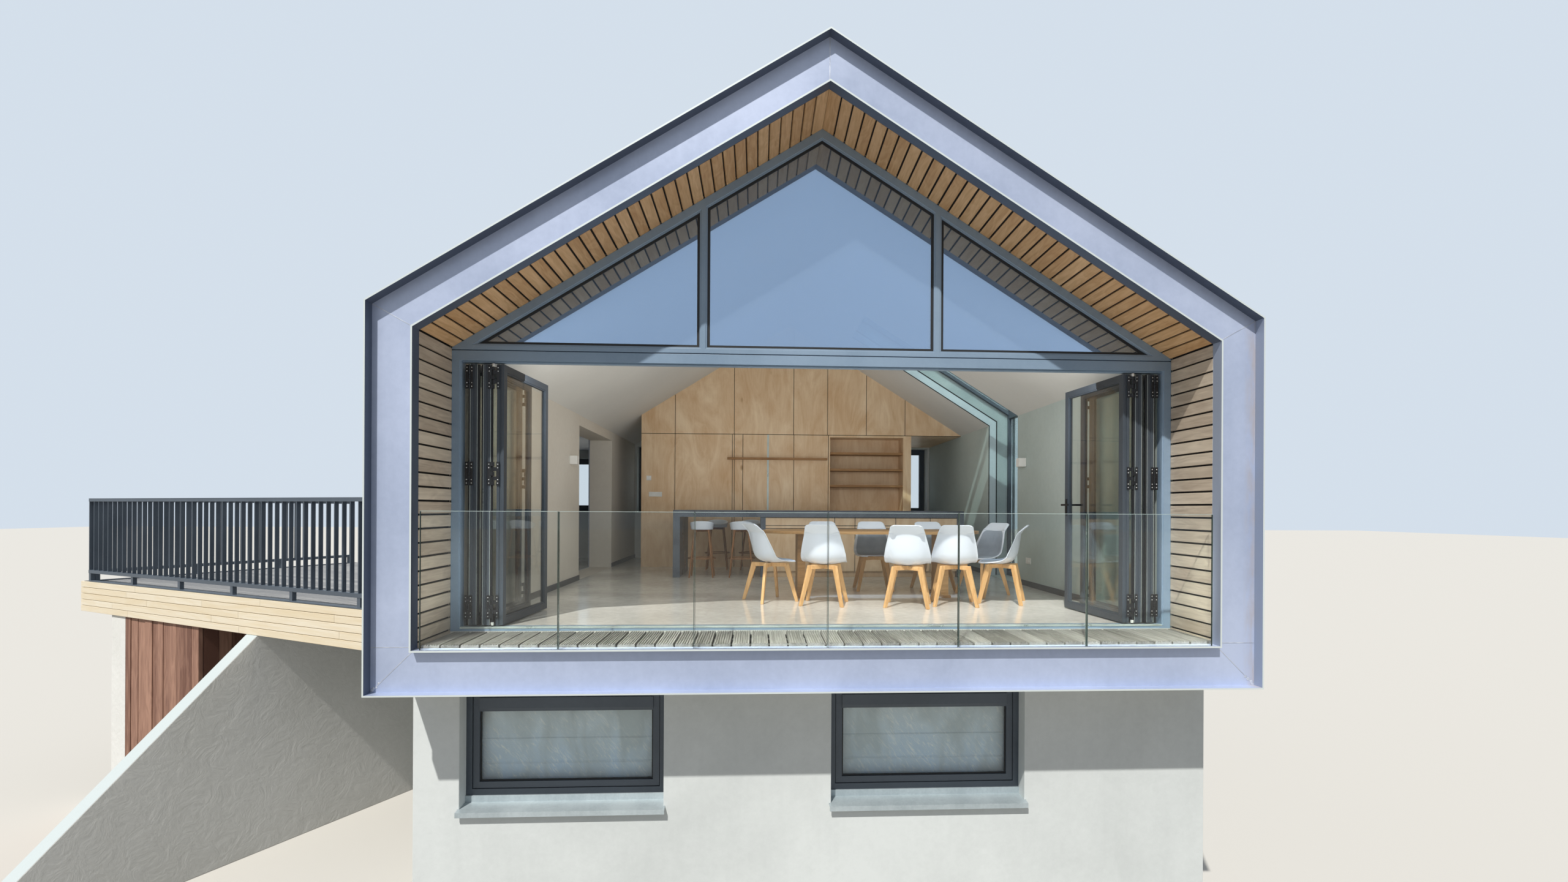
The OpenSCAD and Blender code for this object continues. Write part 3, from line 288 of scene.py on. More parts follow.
# Coats: light and dark tone, scale, mottle, roughness range, bump and its depth, streaks, metal, clear coat
coats = {
    "plaster": ("#e6ebea", "#d6dbda", 0.9, 0.35, (0.85, 0.95), 0.25, 0.003, 0.12),
    "concreteFloor": ("#e4e1da", "#c8c5bd", 0.7, 0.55, (0.1, 0.22), 0.04, 0.001),
    "ceilingPaint": ("#d9d8d3", "#cecdc8", 0.5, 0.2, (0.7, 0.85), 0.05, 0.001),
    "zincSkin": ("#a9afbb", "#8d939f", 0.8, 0.4, (0.38, 0.55), 0.08, 0.002, 0.3, 0.35),
    "glazingGrey": ("#8fa5bb", "#8096ac", 1.4, 0.25, (0.4, 0.5), 0.03, 0.0005),
    # Door leaves: the frames' anthracite made darker, as painted shade for the loggia's shade they stand in
    "leafGreyShaded": ("#49515a", "#3b444d", 1.4, 0.25, (0.4, 0.5), 0.03, 0.0005),
    "windowGrey": ("#545d67", "#454e58", 1.4, 0.25, (0.4, 0.5), 0.03, 0.0005),
    "sillGrey": ("#c2cdd1", "#a9b5ba", 2.2, 0.5, (0.35, 0.5), 0.04, 0.0005, 0.25, 0.25),
    "darkHardware": ("#1b1d21", "#101216", 6, 0.3, (0.3, 0.45), 0.03, 0.0003),
    "screwSteel": ("#eceeee", "#cfd2d2", 30, 0.4, (0.2, 0.35), 0.05, 0.0002, 0, 0.6),
    "railingPaint": ("#59636e", "#4a545f", 2, 0.3, (0.4, 0.55), 0.04, 0.0005, 0, 0.15),
    "lampWhite": ("#f1f0ec", "#e4e3de", 5, 0.2, (0.5, 0.6), 0.02, 0.0005),
    "islandStone": ("#6b727b", "#4f565f", 3, 0.7, (0.25, 0.4), 0.04, 0.0005),
    "chairShell": ("#eaf1fb", "#e0e8f3", 3, 0.12, (0.26, 0.34), 0.015, 0.0002, 0, 0, 0.15),
    "padLeather": ("#aab5c2", "#939fae", 7, 0.5, (0.42, 0.55), 0.3, 0.0006),
    # Near-black painted shade on joists, bearers, fascia backing and joint strips, seen only in shaded gaps;
    # the lining's membrane is a dark sheet as well
    "gapShadeBlack": ("#1c1a18", "#100f0e", 4, 0.3, (0.8, 0.9), 0.05, 0.001),
    "gasketRubber": ("#1d1f22", "#121416", 9, 0.3, (0.55, 0.7), 0.05, 0.0003),
    "thresholdMetal": ("#d5dfda", "#b9c4c0", 4, 0.4, (0.25, 0.4), 0.03, 0.0005, 0, 0.4),
    "skirtingGrey": ("#55585c", "#46494d", 3, 0.3, (0.4, 0.55), 0.03, 0.0005),
    "solder": ("#dfe3ea", "#aeb4c2", 14, 0.8, (0.3, 0.5), 0.5, 0.002, 0, 0.4),
    "liningMetal": ("#b9c7cd", "#a8b6bd", 1.2, 0.3, (0.3, 0.4), 0.02, 0.0005),
    # A painted sky reflection, for the strip window's glass seen edge-on
    "liningGloss": ("#a7b6b8", "#94a4a7", 2.2, 0.4, (0.06, 0.14), 0.01, 0.0005, 0, 0, 0.4),
    # Bare glass edges: greenish and darkened as painted shade on the sides, pale as a painted highlight on
    # the tops
    "glassSideShade": ("#596d68", "#43544f", 3, 0.3, (0.2, 0.3), 0.02, 0.0003),
    "glassTopHighlight": ("#cfdedb", "#b4c8c4", 3, 0.3, (0.15, 0.25), 0.02, 0.0003),
    "switchWhite": ("#ecebe6", "#dddcd6", 6, 0.2, (0.35, 0.45), 0.02, 0.0003),
}
# Woods: light and dark tone, grain along and across, variety, roughness, bump and its depth, the grain's turn
woods = {
    "soffitWood": ("#e3bd90", "#b98d5e", 3.0, 46, 0.45, (0.5, 0.7), 0.2, 0.0008),
    "sideWood": ("#e2d4bf", "#b4a390", 2.4, 46, 0.6, (0.55, 0.75), 0.2, 0.0008),
    "deckWood": ("#a09d97", "#67645e", 2.5, 60, 0.7, (0.7, 0.9), 0.3, 0.001),
    "terraceWood": ("#b4b4b2", "#86878a", 1.2, 45, 0.6, (0.7, 0.9), 0.3, 0.001),
    "pineBoard": ("#f6edd9", "#ead9b8", 1.2, 36, 0.35, (0.55, 0.7), 0.12, 0.0006),
    "plankWood": ("#b78e79", "#704d3f", 1.6, 36, 0.85, (0.7, 0.9), 0.45, 0.002),
    "shelfOak": ("#b38a5f", "#86603b", 2.0, 50, 0.2, (0.45, 0.6), 0.1, 0.0006, (0, 0, 0)),
    "tableOak": ("#c79a66", "#96703f", 1.6, 38, 0.2, (0.35, 0.5), 0.1, 0.0006, (0, 0, 0)),
    "legBeech": ("#efc68c", "#d3a066", 3.0, 45, 0.2, (0.36, 0.48), 0.06, 0.0005, (0, 90, 0)),
    "stoolOak": ("#a5764c", "#7b5433", 3.0, 45, 0.2, (0.4, 0.5), 0.06, 0.0005, (0, 90, 0)),
}
# Glass: tint, tone of its shadow, transmission, smudges and their scale, mirror, bend
panes = {
    "clearGlass": ("#f6faf9", "#f4f8f7", 1.0, 0.03, 1.3),
    "railingGlass": ("#fafdfc", "#f3f8f6", 1.0, 0.03, 1.7, 0.0, 1.3),
    "gableGlass": ("#b4cbe6", "#c9d6e6", 0.8, 0.015, 0.6, 0.6),
    "roofGlass": ("#d3e2e2", "#d5e2e2", 0.9, 0.03, 0.9, 0.1),
}


def coatMaterial(name, light, dark, scale, mottle, rough, bump, depth, streaks=0.0, metal=0.0, coat=0.0):
    material, tree, shader = startMaterial(name, {"Metallic": metal, "Coat Weight": coat})
    parts = twoTones(tree, light, dark, scale, mottle, streaks)
    wire(tree, shader.inputs["Base Color"], parts["Colour"])
    wire(tree, shader.inputs["Roughness"], spread(tree, parts["Mask"], 0, 1, *rough))
    addBump(tree, shader, parts["Height"], bump, depth)
    return material


def woodMaterial(name, light, dark, along, across, variety, rough, bump, depth, turn=None):
    # Separate boards carry their own grain and tone; on a CAD node the grain runs along one axis
    material, tree, shader = startMaterial(name, {})
    if turn is None:
        vector = addNode(tree, "Attribute", {}, attribute_name="grain").outputs["Vector"]
        tone = addNode(tree, "Attribute", {}, attribute_name="tone").outputs["Fac"]
    else:
        vector, tone = turned(tree, objectPlace(tree), turn), 0.5
    parts = place(tree, woodGrain, Vector=vector, Tone=tone, Light=linear(light), Dark=linear(dark),
                  Along=along, Across=across, Variety=variety)
    wire(tree, shader.inputs["Base Color"], parts["Colour"])
    wire(tree, shader.inputs["Roughness"], spread(tree, parts["Height"], 0.2, 0.8, *rough))
    addBump(tree, shader, parts["Height"], bump, depth)
    return material


def glassMaterial(name, tint, shadow, clear, smudge, smudgeScale, mirror=0.0, bend=1.45):
    # Key light comes through as tinted shadow; the shader itself stays plain for the export
    material, tree, shader = startMaterial(name, {
        "Base Color": linear(tint), "IOR": bend, "Transmission Weight": clear, "Metallic": mirror,
    })
    smudges = noise(tree, objectPlace(tree), smudgeScale, 3)
    wire(tree, shader.inputs["Roughness"], spread(tree, smudges, 0.35, 0.75, 0.0, smudge))
    through = addNode(tree, "BsdfTransparent", {"Color": linear(shadow)})
    shadowRay = tree.nodes.new("ShaderNodeLightPath").outputs["Is Shadow Ray"]
    mixed = mixShaders(tree, shadowRay, shader.outputs[0], through.outputs[0])
    wire(tree, tree.nodes["Material Output"].inputs["Surface"], mixed)
    return material


finishes = {}
for make, table in ((coatMaterial, coats), (woodMaterial, woods), (glassMaterial, panes)):
    finishes.update({name: make(name, *finish) for name, finish in table.items()})


# Front zinc: cloudy bloom, a painted highlight on the lips' front faces, painted shade on the returns with
# painted light where they face left, and a stain beside the right outer edge
frontZinc = {
    # The return tones are painted shade on the lips' inner faces, lighter as painted light where they face
    # left; the edge tone is a painted highlight on the lip fronts
    "light": "#c4cfe8", "dark": "#aebad4", "return": "#566072", "paintedLitReturn": "#a3aec2", "edge": "#dfe7e6",
    "stain": "#c3b6ae", "stainFrom": 0.11, "stainTo": 0.03, "foldDepth": 0.06, "drips": (6, 1, 1.2),
    "dripScale": 3.0, "dripShare": 0.6, "scale": 0.9, "mottle": 0.3, "streaks": 0.12, "metal": 0.2,
    "rough": (0.36, 0.5), "bump": 0.06, "depth": 0.001,
}


def frontZincMaterial(finish):
    material, tree, shader = startMaterial("zincFront", {"Metallic": finish["metal"]})
    parts = twoTones(tree, *[finish[label] for label in ("light", "dark", "scale", "mottle", "streaks")])
    spot, facing = objectPlace(tree), facingOf(tree)
    at = axes(tree, spot)
    # Lip fronts get a painted highlight; faces that look neither forward nor up get the returns' painted
    # shade
    forward = maths(tree, "LESS_THAN", facing["Y"], -0.5)
    lipFrontHighlight = maths(tree, "LESS_THAN", at["Y"], rimFront + finish["foldDepth"])
    lipFrontHighlight = maths(tree, "MULTIPLY", forward, lipFrontHighlight)
    level = maths(tree, "GREATER_THAN", facing["Z"], 0.9)
    inward = maths(tree, "SUBTRACT", 1.0, maths(tree, "MAXIMUM", forward, level))
    stain = spread(tree, at["X"], halfWidth - finish["stainFrom"], halfWidth - finish["stainTo"])
    drips = noise(tree, scaled(tree, spot, finish["drips"]), finish["dripScale"], 4)
    drips = spread(tree, drips, 0.35, 0.65, 0, finish["dripShare"])
    stained = maths(tree, "MULTIPLY", stain, drips)
    # Painted light on the returns that face left, towards the key
    litReturnFaces = maths(tree, "LESS_THAN", facing["X"], -0.7)
    colour = mixColours(tree, stained, parts["Colour"], linear(finish["stain"]))
    colour = mixColours(tree, lipFrontHighlight, colour, linear(finish["edge"]))
    returnLightAndShade = mixColours(tree, litReturnFaces, linear(finish["return"]), linear(finish["paintedLitReturn"]))
    wire(tree, shader.inputs["Base Color"], mixColours(tree, inward, colour, returnLightAndShade))
    wire(tree, shader.inputs["Roughness"], spread(tree, parts["Mask"], 0, 1, *finish["rough"]))
    addBump(tree, shader, parts["Height"], finish["bump"], finish["depth"])
    return material


# Wall paint of the room, warm on the left wall and greenish grey on the right
roomPaint = {
    "warm": ("#dcd6cb", "#cfc8bc"), "cool": ("#bfcac6", "#aebab6"), "scale": 0.7, "mottle": 0.35,
    "rough": 0.75, "bump": 0.06, "depth": 0.001,
}


def roomPaintMaterial(finish):
    material, tree, shader = startMaterial("roomPaint", {"Roughness": finish["rough"]})
    drift = (finish["scale"], finish["mottle"])
    warm, cool = [twoTones(tree, *finish[side], *drift) for side in ("warm", "cool")]
    right = maths(tree, "GREATER_THAN", axes(tree, objectPlace(tree))["X"], 0.0)
    wire(tree, shader.inputs["Base Color"], mixColours(tree, right, warm["Colour"], cool["Colour"]))
    addBump(tree, shader, warm["Height"], finish["bump"], finish["depth"])
    return material


# Trowelled plaster on the court's wall and piers, its light tone pale as painted light for the grazing sun
# its faces miss; surfaces that face up stand in full sun and are toned down as painted shade
trowel = {
    "light": "#f4f4f0", "dark": "#e7e7e2", "top": "#ccd6d7", "scale": 0.8, "mottle": 0.5, "streaks": 0.1,
    "strokes": 5.0, "ridges": -1.5, "grit": 0.15, "rough": 0.9, "bump": 0.55, "depth": 0.012,
}


def trowelMaterial(finish):
    material, tree, shader = startMaterial("trowelPlaster", {"Roughness": finish["rough"]})
    parts = twoTones(tree, *[finish[label] for label in ("light", "dark", "scale", "mottle", "streaks")])
    # Painted shade on the tops, which face up into full sun
    paintedShadeTops = maths(tree, "GREATER_THAN", facingOf(tree)["Z"], 0.3)
    wire(tree, shader.inputs["Base Color"], mixColours(tree, paintedShadeTops, parts["Colour"], linear(finish["top"])))
    strokes = noise(tree, objectPlace(tree), finish["strokes"], 6, 0.6, 0.8)
    ridges = maths(tree, "ABSOLUTE", maths(tree, "SUBTRACT", strokes, 0.5))
    grit = maths(tree, "MULTIPLY", parts["Height"], finish["grit"])
    height = maths(tree, "ADD", maths(tree, "MULTIPLY", ridges, finish["ridges"]), grit)
    addBump(tree, shader, height, finish["bump"], finish["depth"])
    return material


# Birch plywood: pale veneer with upright flame figure and a few small knots
birch = {
    "light": "#efd7b6", "dark": "#d0aa80", "knot": "#a5794c", "figure": (2.6, 2.6, 0.9),
    "fibres": (150, 150, 4), "knotPlaces": (2.2, 2.2, 1.1), "knotSize": (0.025, 0.07), "knotShare": 0.75,
    "rough": 0.45, "bump": 0.08, "depth": 0.0005,
}


def birchMaterial(finish):
    material, tree, shader = startMaterial("birchPlywood", {"Roughness": finish["rough"]})
    spot = objectPlace(tree)
    figure = noise(tree, scaled(tree, spot, finish["figure"]), 1.0, 6, 0.62, 2.6)
    fibres = noise(tree, scaled(tree, spot, finish["fibres"]), 1.0, 3, 0.6)
    blotch = noise(tree, spot, 1.6, 3, 0.5, 0.5)
    mask = spread(tree, figure, 0.32, 0.68, 0, 0.6)
    mask = maths(tree, "ADD", mask, spread(tree, blotch, 0.3, 0.7, 0, 0.4))
    mask = maths(tree, "ADD", mask, spread(tree, fibres, 0.3, 0.7, -0.12, 0.12), True)
    dots = addNode(tree, "TexVoronoi", {"Vector": scaled(tree, spot, finish["knotPlaces"]), "Scale": 1.0})
    knots = spread(tree, dots.outputs["Distance"], *finish["knotSize"], finish["knotShare"], 0.0)
    colour = mixColours(tree, mask, linear(finish["dark"]), linear(finish["light"]))
    wire(tree, shader.inputs["Base Color"], mixColours(tree, knots, colour, linear(finish["knot"])))
    addBump(tree, shader, fibres, finish["bump"], finish["depth"])
    return material


# Crinkled blind cloth, greyer at the head and bluer towards the foot, made lighter as painted light for sun
# it doesn't get, with painted highlights on the crinkles and painted shade in patches
blindCloth = {
    "head": "#edf2ef", "foot": "#c1d8ee", "creaseHighlight": "#fafcfa", "patchShade": "#8f9da1", "slant": (0, 38, 0),
    "creases": (46.0, 10.0, 9.0), "clouds": (3.4, 1.0, 1.5), "rough": 0.9, "bump": 0.5, "depth": 0.003,
}


def blindMaterial(finish):
    material, tree, shader = startMaterial("blindCloth", {"Roughness": finish["rough"]})
    spot = objectPlace(tree)
    low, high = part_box("base_blinds")
    slanted = scaled(tree, turned(tree, spot, finish["slant"]), finish["creases"])
    creases = noise(tree, slanted, 1.0, 5, 0.7, 1.2)
    clouds = noise(tree, scaled(tree, spot, finish["clouds"]), 1.0, 3, 0.5, 0.4)
    down = spread(tree, axes(tree, spot)["Z"], high.z, low.z)
    blue = maths(tree, "MULTIPLY", down, spread(tree, clouds, 0.3, 0.7, 0.5, 1.3), True)
    colour = mixColours(tree, blue, linear(finish["head"]), linear(finish["foot"]))
    # Painted highlights on the crinkles' crests and painted shade in cloudy patches
    for share, tone in (
        (spread(tree, creases, 0.52, 0.68, 0.0, 0.9), "creaseHighlight"),
        (spread(tree, clouds, 0.60, 0.40, 0.0, 0.45), "patchShade"),
    ):
        colour = mixColours(tree, share, colour, linear(finish[tone]))
    wire(tree, shader.inputs["Base Color"], colour)
    addBump(tree, shader, creases, finish["bump"], finish["depth"])
    return material


finishes["zincFront"] = frontZincMaterial(frontZinc)
finishes["roomPaint"] = roomPaintMaterial(roomPaint)
finishes["trowelPlaster"] = trowelMaterial(trowel)
finishes["birchPlywood"] = birchMaterial(birch)
finishes["blindCloth"] = blindMaterial(blindCloth)
addLight(studioLight)
print("materials and lights made:", len(finishes))

# Finish of every CAD node

finishedNodes = {
    "plaster": "base_front_wall base_back_wall base_side_walls back_gable_wall bay_front_wall bay_side_wall "
               "bay_back_wall",
    "concreteFloor": "base_floor tube_floor bay_floor",
    "windowGrey": "window_frames roof_window_frame",
    "clearGlass": "window_glass door_glass",
    "sillGrey": "window_sills",
    "blindCloth": "base_blinds",
    "roomPaint": "side_walls",
    "ceilingPaint": "roof_left roof_right",
    "zincSkin": "zinc_walls zinc_roof back_frame bay_roof",
    "zincFront": "frame_left_post frame_right_post frame_left_rake frame_right_rake frame_sill",
    "soffitWood": "timber_lining",
    "deckWood": "balcony_deck",
    "railingGlass": "balcony_glass",
    "glazingGrey": "gable_frame door_frame",
    "gableGlass": "gable_glass",
    "leafGreyShaded": "door_leaves_left door_leaves_right",
    "darkHardware": "door_hardware",
    "roofGlass": "roof_window_glass",
    "birchPlywood": "plywood_wall passage_ceiling island_cabinet",
    "shelfOak": "kitchen_shelves",
    "islandStone": "kitchen_island",
    "lampWhite": "wall_lights",
    "tableOak": "dining_table",
    "chairShell": "chair_shells stool_shells",
    "legBeech": "chair_legs",
    "stoolOak": "stool_legs",
    "terraceWood": "terrace_deck",
    "pineBoard": "terrace_fascia",
    "railingPaint": "terrace_railing terrace_end_railing",
    "trowelPlaster": "wing_wall terrace_pier",
    "plankWood": "plank_wall",
}
roundedNodes = {  # by the radius of their edges
    0.001: "window_sills",
    0.0015: "window_frames terrace_railing terrace_end_railing",
    0.002: "gable_frame door_frame door_leaves_left door_leaves_right kitchen_island kitchen_shelves "
           "island_cabinet roof_window_frame",
    0.003: "stool_shells",
    0.004: "dining_table base_front_wall chair_legs",
    0.006: "wall_lights",
    0.008: "wing_wall terrace_pier",
}
rounding = {"weld": 0.00001, "segments": 2, "sharperThan": 40}


def finishNodes():
    for finish, names in finishedNodes.items():
        for name in names.split():
            mesh = nodes[name].data
            mesh.materials.clear()
            mesh.materials.append(finishes[finish])
    for radius, names in roundedNodes.items():
        for name in names.split():
            nodes[name].modifiers.new("joined", "WELD").merge_threshold = rounding["weld"]
            bevel = nodes[name].modifiers.new("rounded", "BEVEL")
            bevel.width = radius
            bevel.segments = rounding["segments"]
            bevel.limit_method = "ANGLE"
            bevel.angle_limit = math.radians(rounding["sharperThan"])


finishNodes()
print("CAD nodes finished")

# Boards and bars: a profile of (across, out) points is run along each one

boardGrain = {"range": 50, "shift": (1, 0.37, 0.11)}  # a board's own shift of its grain: along, across, out
mostEased = 0.3  # of a bar's least side


def planed(width, thick, ease):
    return [
        (ease, 0), (width - ease, 0), (width, ease), (width, thick - ease),
        (width - ease, thick), (ease, thick), (0, thick - ease), (0, ease),
    ]


def ribbed(width, thick, ribs, depth, shape):
    # Each groove's floor ends at the first share of a rib's pitch, its top lies between the other two
    step, low = width / ribs, thick - depth
    top = []
    for left in (k * step for k in range(ribs)):
        top += [(left, low), (left + step * shape[0], low)]
        top += [(left + step * share, thick) for share in shape[1:]]
    return [(0, 0), (width, 0), (width, low)] + top[::-1]


def finishPiece(name, verts, faces, finish, slot, replaced=(), grains=None, tones=None, smooth=False):
    mesh = bpy.data.meshes.new(name)
    mesh.from_pydata([tuple(v) for v in verts], [], faces)
    if grains:
        grain = mesh.attributes.new("grain", "FLOAT_VECTOR", "POINT")
        grain.data.foreach_set("vector", [c for g in grains for c in g])
        mesh.attributes.new("tone", "FLOAT", "POINT").data.foreach_set("value", tones)
    sorter = bmesh.new()
    sorter.from_mesh(mesh)
    bmesh.ops.recalc_face_normals(sorter, faces=sorter.faces)
    sorter.to_mesh(mesh)
    sorter.free()
    if smooth:
        mesh.shade_smooth()
    mesh.materials.append(finishes[finish])
    piece = addObject(name, mesh)
    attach(piece, "root")
    if replaced:
        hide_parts(*replaced)
    return piece


def runBoards(name, boards, finish, slot, seed, replaced=()):
    # Each board has its origin, three directions, profile, and start and end, which may be functions
    chance = random.Random(seed)
    verts, faces, grains, tones = [], [], [], []
    for origin, along, across, out, profile, start, end in boards:
        count, base = len(profile), len(verts)
        shift, tone = chance.uniform(0, boardGrain["range"]), chance.random()
        for limit in (start, end):
            for a, o in profile:
                reach = limit(a, o) if callable(limit) else limit
                verts.append(origin + along * reach + across * a + out * o)
                grains.append([p + shift * share for p, share in zip((reach, a, o), boardGrain["shift"])])
                tones.append(tone)
        near, far = range(base, base + count), range(base + count, base + 2 * count)
        faces += [[near[k - 1], near[k], far[k], far[k - 1]] for k in range(count)]
        faces += [list(reversed(near)), list(far)]
    return finishPiece(name, verts, faces, finish, slot, replaced, grains, tones)


def bar(x0, x1, y0, y1, z0, z1, ease=0.001):
    # A bar with eased edges along its longest side; its ends in x and y may be given in either order
    size = (abs(x1 - x0), abs(y1 - y0), z1 - z0)
    order = sorted(range(3), key=lambda k: -size[k])
    directions = [(acrossX, intoHouse, upward)[k] for k in order]
    profile = planed(size[order[1]], size[order[2]], min(ease, size[order[2]] * mostEased))
    return (Vector((min(x0, x1), min(y0, y1), z0)), *directions, profile, 0, size[order[0]])


# Soffit and side lining of the loggia, boards running from the frame to the glazing

liningBoards = {
    "pitch": 0.1077, "gap": 0.016, "membrane": 0.002, "membraneEase": 0.0005, "ease": 0.0015, "least": 0.015,
}


def rimPoint(inset, side):
    # Eave and ridge corners of the outline set in by inset, on the left (-1) or right (1)
    top = ridgeHeight - inset / math.cos(slope)
    eave = top - (halfWidth - inset) * math.tan(slope)
    return Vector((side * (halfWidth - inset), 0, eave)), Vector((0, 0, top))


def addLining(lining):
    low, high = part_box("timber_lining")
    face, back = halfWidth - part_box("balcony_deck")[1].x, halfWidth - high.x
    depth, gap, pitch, membrane = high.y - low.y, lining["gap"], lining["pitch"], lining["membrane"]
    thick = face - back - membrane
    sheets, upright, raking = [], [], []
    for side in (-1, 1):
        eave, ridge, outerEave, outerRidge = corners = (*rimPoint(face, side), *rimPoint(back, side))
        for point in corners:
            point.y = low.y
        rake = (ridge - eave).normalized()
        outward = Vector((side * math.sin(slope), 0, math.cos(slope)))
        wallFoot = Vector((outerEave.x, low.y, low.z))
        for foot, across, out, reach in (
            (wallFoot, upward, acrossX * -side, outerEave.z - low.z),
            (outerEave, rake, -outward, (outerRidge - outerEave).length),
        ):
            profile = planed(reach, membrane, lining["membraneEase"])
            sheets.append((foot, intoHouse, across, out, profile, 0, depth))
        for reach, across, out, boards in (
            (eave.z - low.z, -upward, acrossX * side, upright),
            ((ridge - eave).length, rake, outward, raking),
        ):
            at = gap / 2
            while at < reach - lining["least"]:
                rest = reach - at
                width = rest if rest < pitch + lining["least"] else pitch - gap
                profile = planed(width, thick, lining["ease"])
                boards.append((eave + across * at, intoHouse, across, out, profile, 0, depth))
                at += pitch
    runBoards("liningMembrane", sheets, "gapShadeBlack", "timber", 3)
    runBoards("sideBoards", upright, "sideWood", "timber", 4, ["timber_lining"])
    runBoards("soffitBoards", raking, "soffitWood", "timber", 14, ["timber_lining"])


addLining(liningBoards)

# Ribbed boards on the balcony, on three bearers

balconyBoards = {
    "pitch": 0.147, "gap": 0.014, "thick": 0.028, "least": 0.02, "ribs": 8, "fewestRibs": 2, "groove": 0.007,
    "ribShape": (0.28, 0.38, 0.9), "bearer": 0.045, "bearerPlaces": (0.04, 0.48, 0.86),
}


def addBalconyDeck(deck):
    low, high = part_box("balcony_deck")
    boards, bearers = [], []
    size, pitch = high - low, deck["pitch"]
    count = int(size.x / pitch)
    margin = (size.x - count * pitch) / 2
    rest = size.z - deck["thick"]
    for k in range(-1, count + 1):
        left = low.x + margin + k * pitch
        right = min(left + pitch - deck["gap"], high.x)
        left = max(left, low.x)
        width = right - left
        if width < deck["least"]:
            continue
        ribs = max(deck["fewestRibs"], round(width / pitch * deck["ribs"]))
        profile = ribbed(width, deck["thick"], ribs, deck["groove"], deck["ribShape"])
        boards.append((Vector((left, low.y, low.z + rest)), intoHouse, acrossX, upward, profile, 0, size.y))
    for share in deck["bearerPlaces"]:
        y = low.y + share * size.y
        bearers.append(bar(low.x, high.x, y, y + deck["bearer"], low.z, low.z + rest))
    runBoards("balconyBearers", bearers, "gapShadeBlack", "deck_ribbed", 5)
    runBoards("balconyBoards", boards, "deckWood", "deck_ribbed", 6, ["balcony_deck"])


addBalconyDeck(balconyBoards)
print("loggia boarded")

# Terrace: boards, joists and pine fascia; v is the distance back from its front edge

terrace = {
    "turn": 27.5, "corner": (-3.40, -3.50), "length": 6.94, "depth": 3.6, "foot": 2.36, "top": 0.40,
    "boards": 12, "boardThick": 0.028, "gap": 0.006, "ease": 0.002, "least": 0.03, "joist": 0.07, "joists": 6,
    "fascia": 0.04, "fasciaBoards": 5, "fasciaShare": 0.6, "fasciaGap": 0.006, "backingEase": 0.001,
    "buttGap": 0.003, "boardLengths": (1.7, 2.9), "firstShare": (0.3, 1.0), "lastLength": 0.4,
    "cornerSlack": 0.001, "shortestRun": 0.1,
}
turn = math.radians(terrace["turn"])
outAlong = Vector((-math.cos(turn), math.sin(turn), 0))
backward = Vector((math.sin(turn), math.cos(turn), 0))
terraceCorner = Vector((*terrace["corner"], terrace["foot"]))
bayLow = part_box("bay_roof")[0]
bayCornerV = (bayLow.x - terraceCorner.x) * math.sin(turn) + (bayLow.y - terraceCorner.y) * math.cos(turn)


def houseEdge(v):
    return (v * math.sin(turn) + halfWidth + terraceCorner.x) / math.cos(turn)


def bayFront(v):
    return (bayLow.y - terraceCorner.y - v * math.cos(turn)) / math.sin(turn)


def baySide(v):
    return (v * math.sin(turn) + terraceCorner.x - bayLow.x) / math.cos(turn)


def terraceRuns(v, end):
    # The stretches of a line at v that lie outside the house and the bay, as functions of the place across
    if v < bayCornerV - terrace["cornerSlack"]:
        return [(lambda a, o: houseEdge(v + a), end)]
    runs = [(lambda a, o: baySide(v + a), end)]
    if bayFront(v) > houseEdge(v) + terrace["shortestRun"]:
        runs.append((lambda a, o: houseEdge(v + a), lambda a, o: bayFront(v + a)))
    return runs


def addDeck(deck):
    thick, depth, under = deck["fascia"], deck["depth"], deck["top"] - deck["boardThick"]
    end = deck["length"] - thick
    pitch = (bayCornerV - thick) / deck["boards"]
    boards, joists = [], []

    def lay(pieces, v, rise, profile):
        origin = terraceCorner + backward * v + upward * rise
        pieces += [(origin, outAlong, backward, upward, profile, *run) for run in terraceRuns(v, end)]

    v = thick
    while v < depth - thick - deck["least"]:
        width = min(pitch - deck["gap"], depth - thick - v)
        lay(boards, v, under, planed(width, deck["boardThick"], deck["ease"]))
        v += pitch
    for k in range(deck["joists"]):
        v = thick + k * (depth - 2 * thick - deck["joist"]) / (deck["joists"] - 1)
        lay(joists, v, 0, planed(deck["joist"], under, deck["ease"]))
    runBoards("terraceJoists", joists, "gapShadeBlack", "terrace_board", 7)
    runBoards("terraceBoards", boards, "terraceWood", "terrace_board", 8, ["terrace_deck"])


def cutRun(start, stop, first, chance, deck):
    # Splits a run into boards of changing length with butt joints between them
    shortest, longest = deck["boardLengths"]
    joints = [first + chance.uniform(*deck["firstShare"]) * shortest]
    while joints[-1] < stop - shortest:
        joints.append(joints[-1] + chance.uniform(shortest, longest))
    joints = [j for j in joints if j < stop - deck["lastLength"]]
    return list(zip([start] + [j + deck["buttGap"] for j in joints], joints + [stop]))


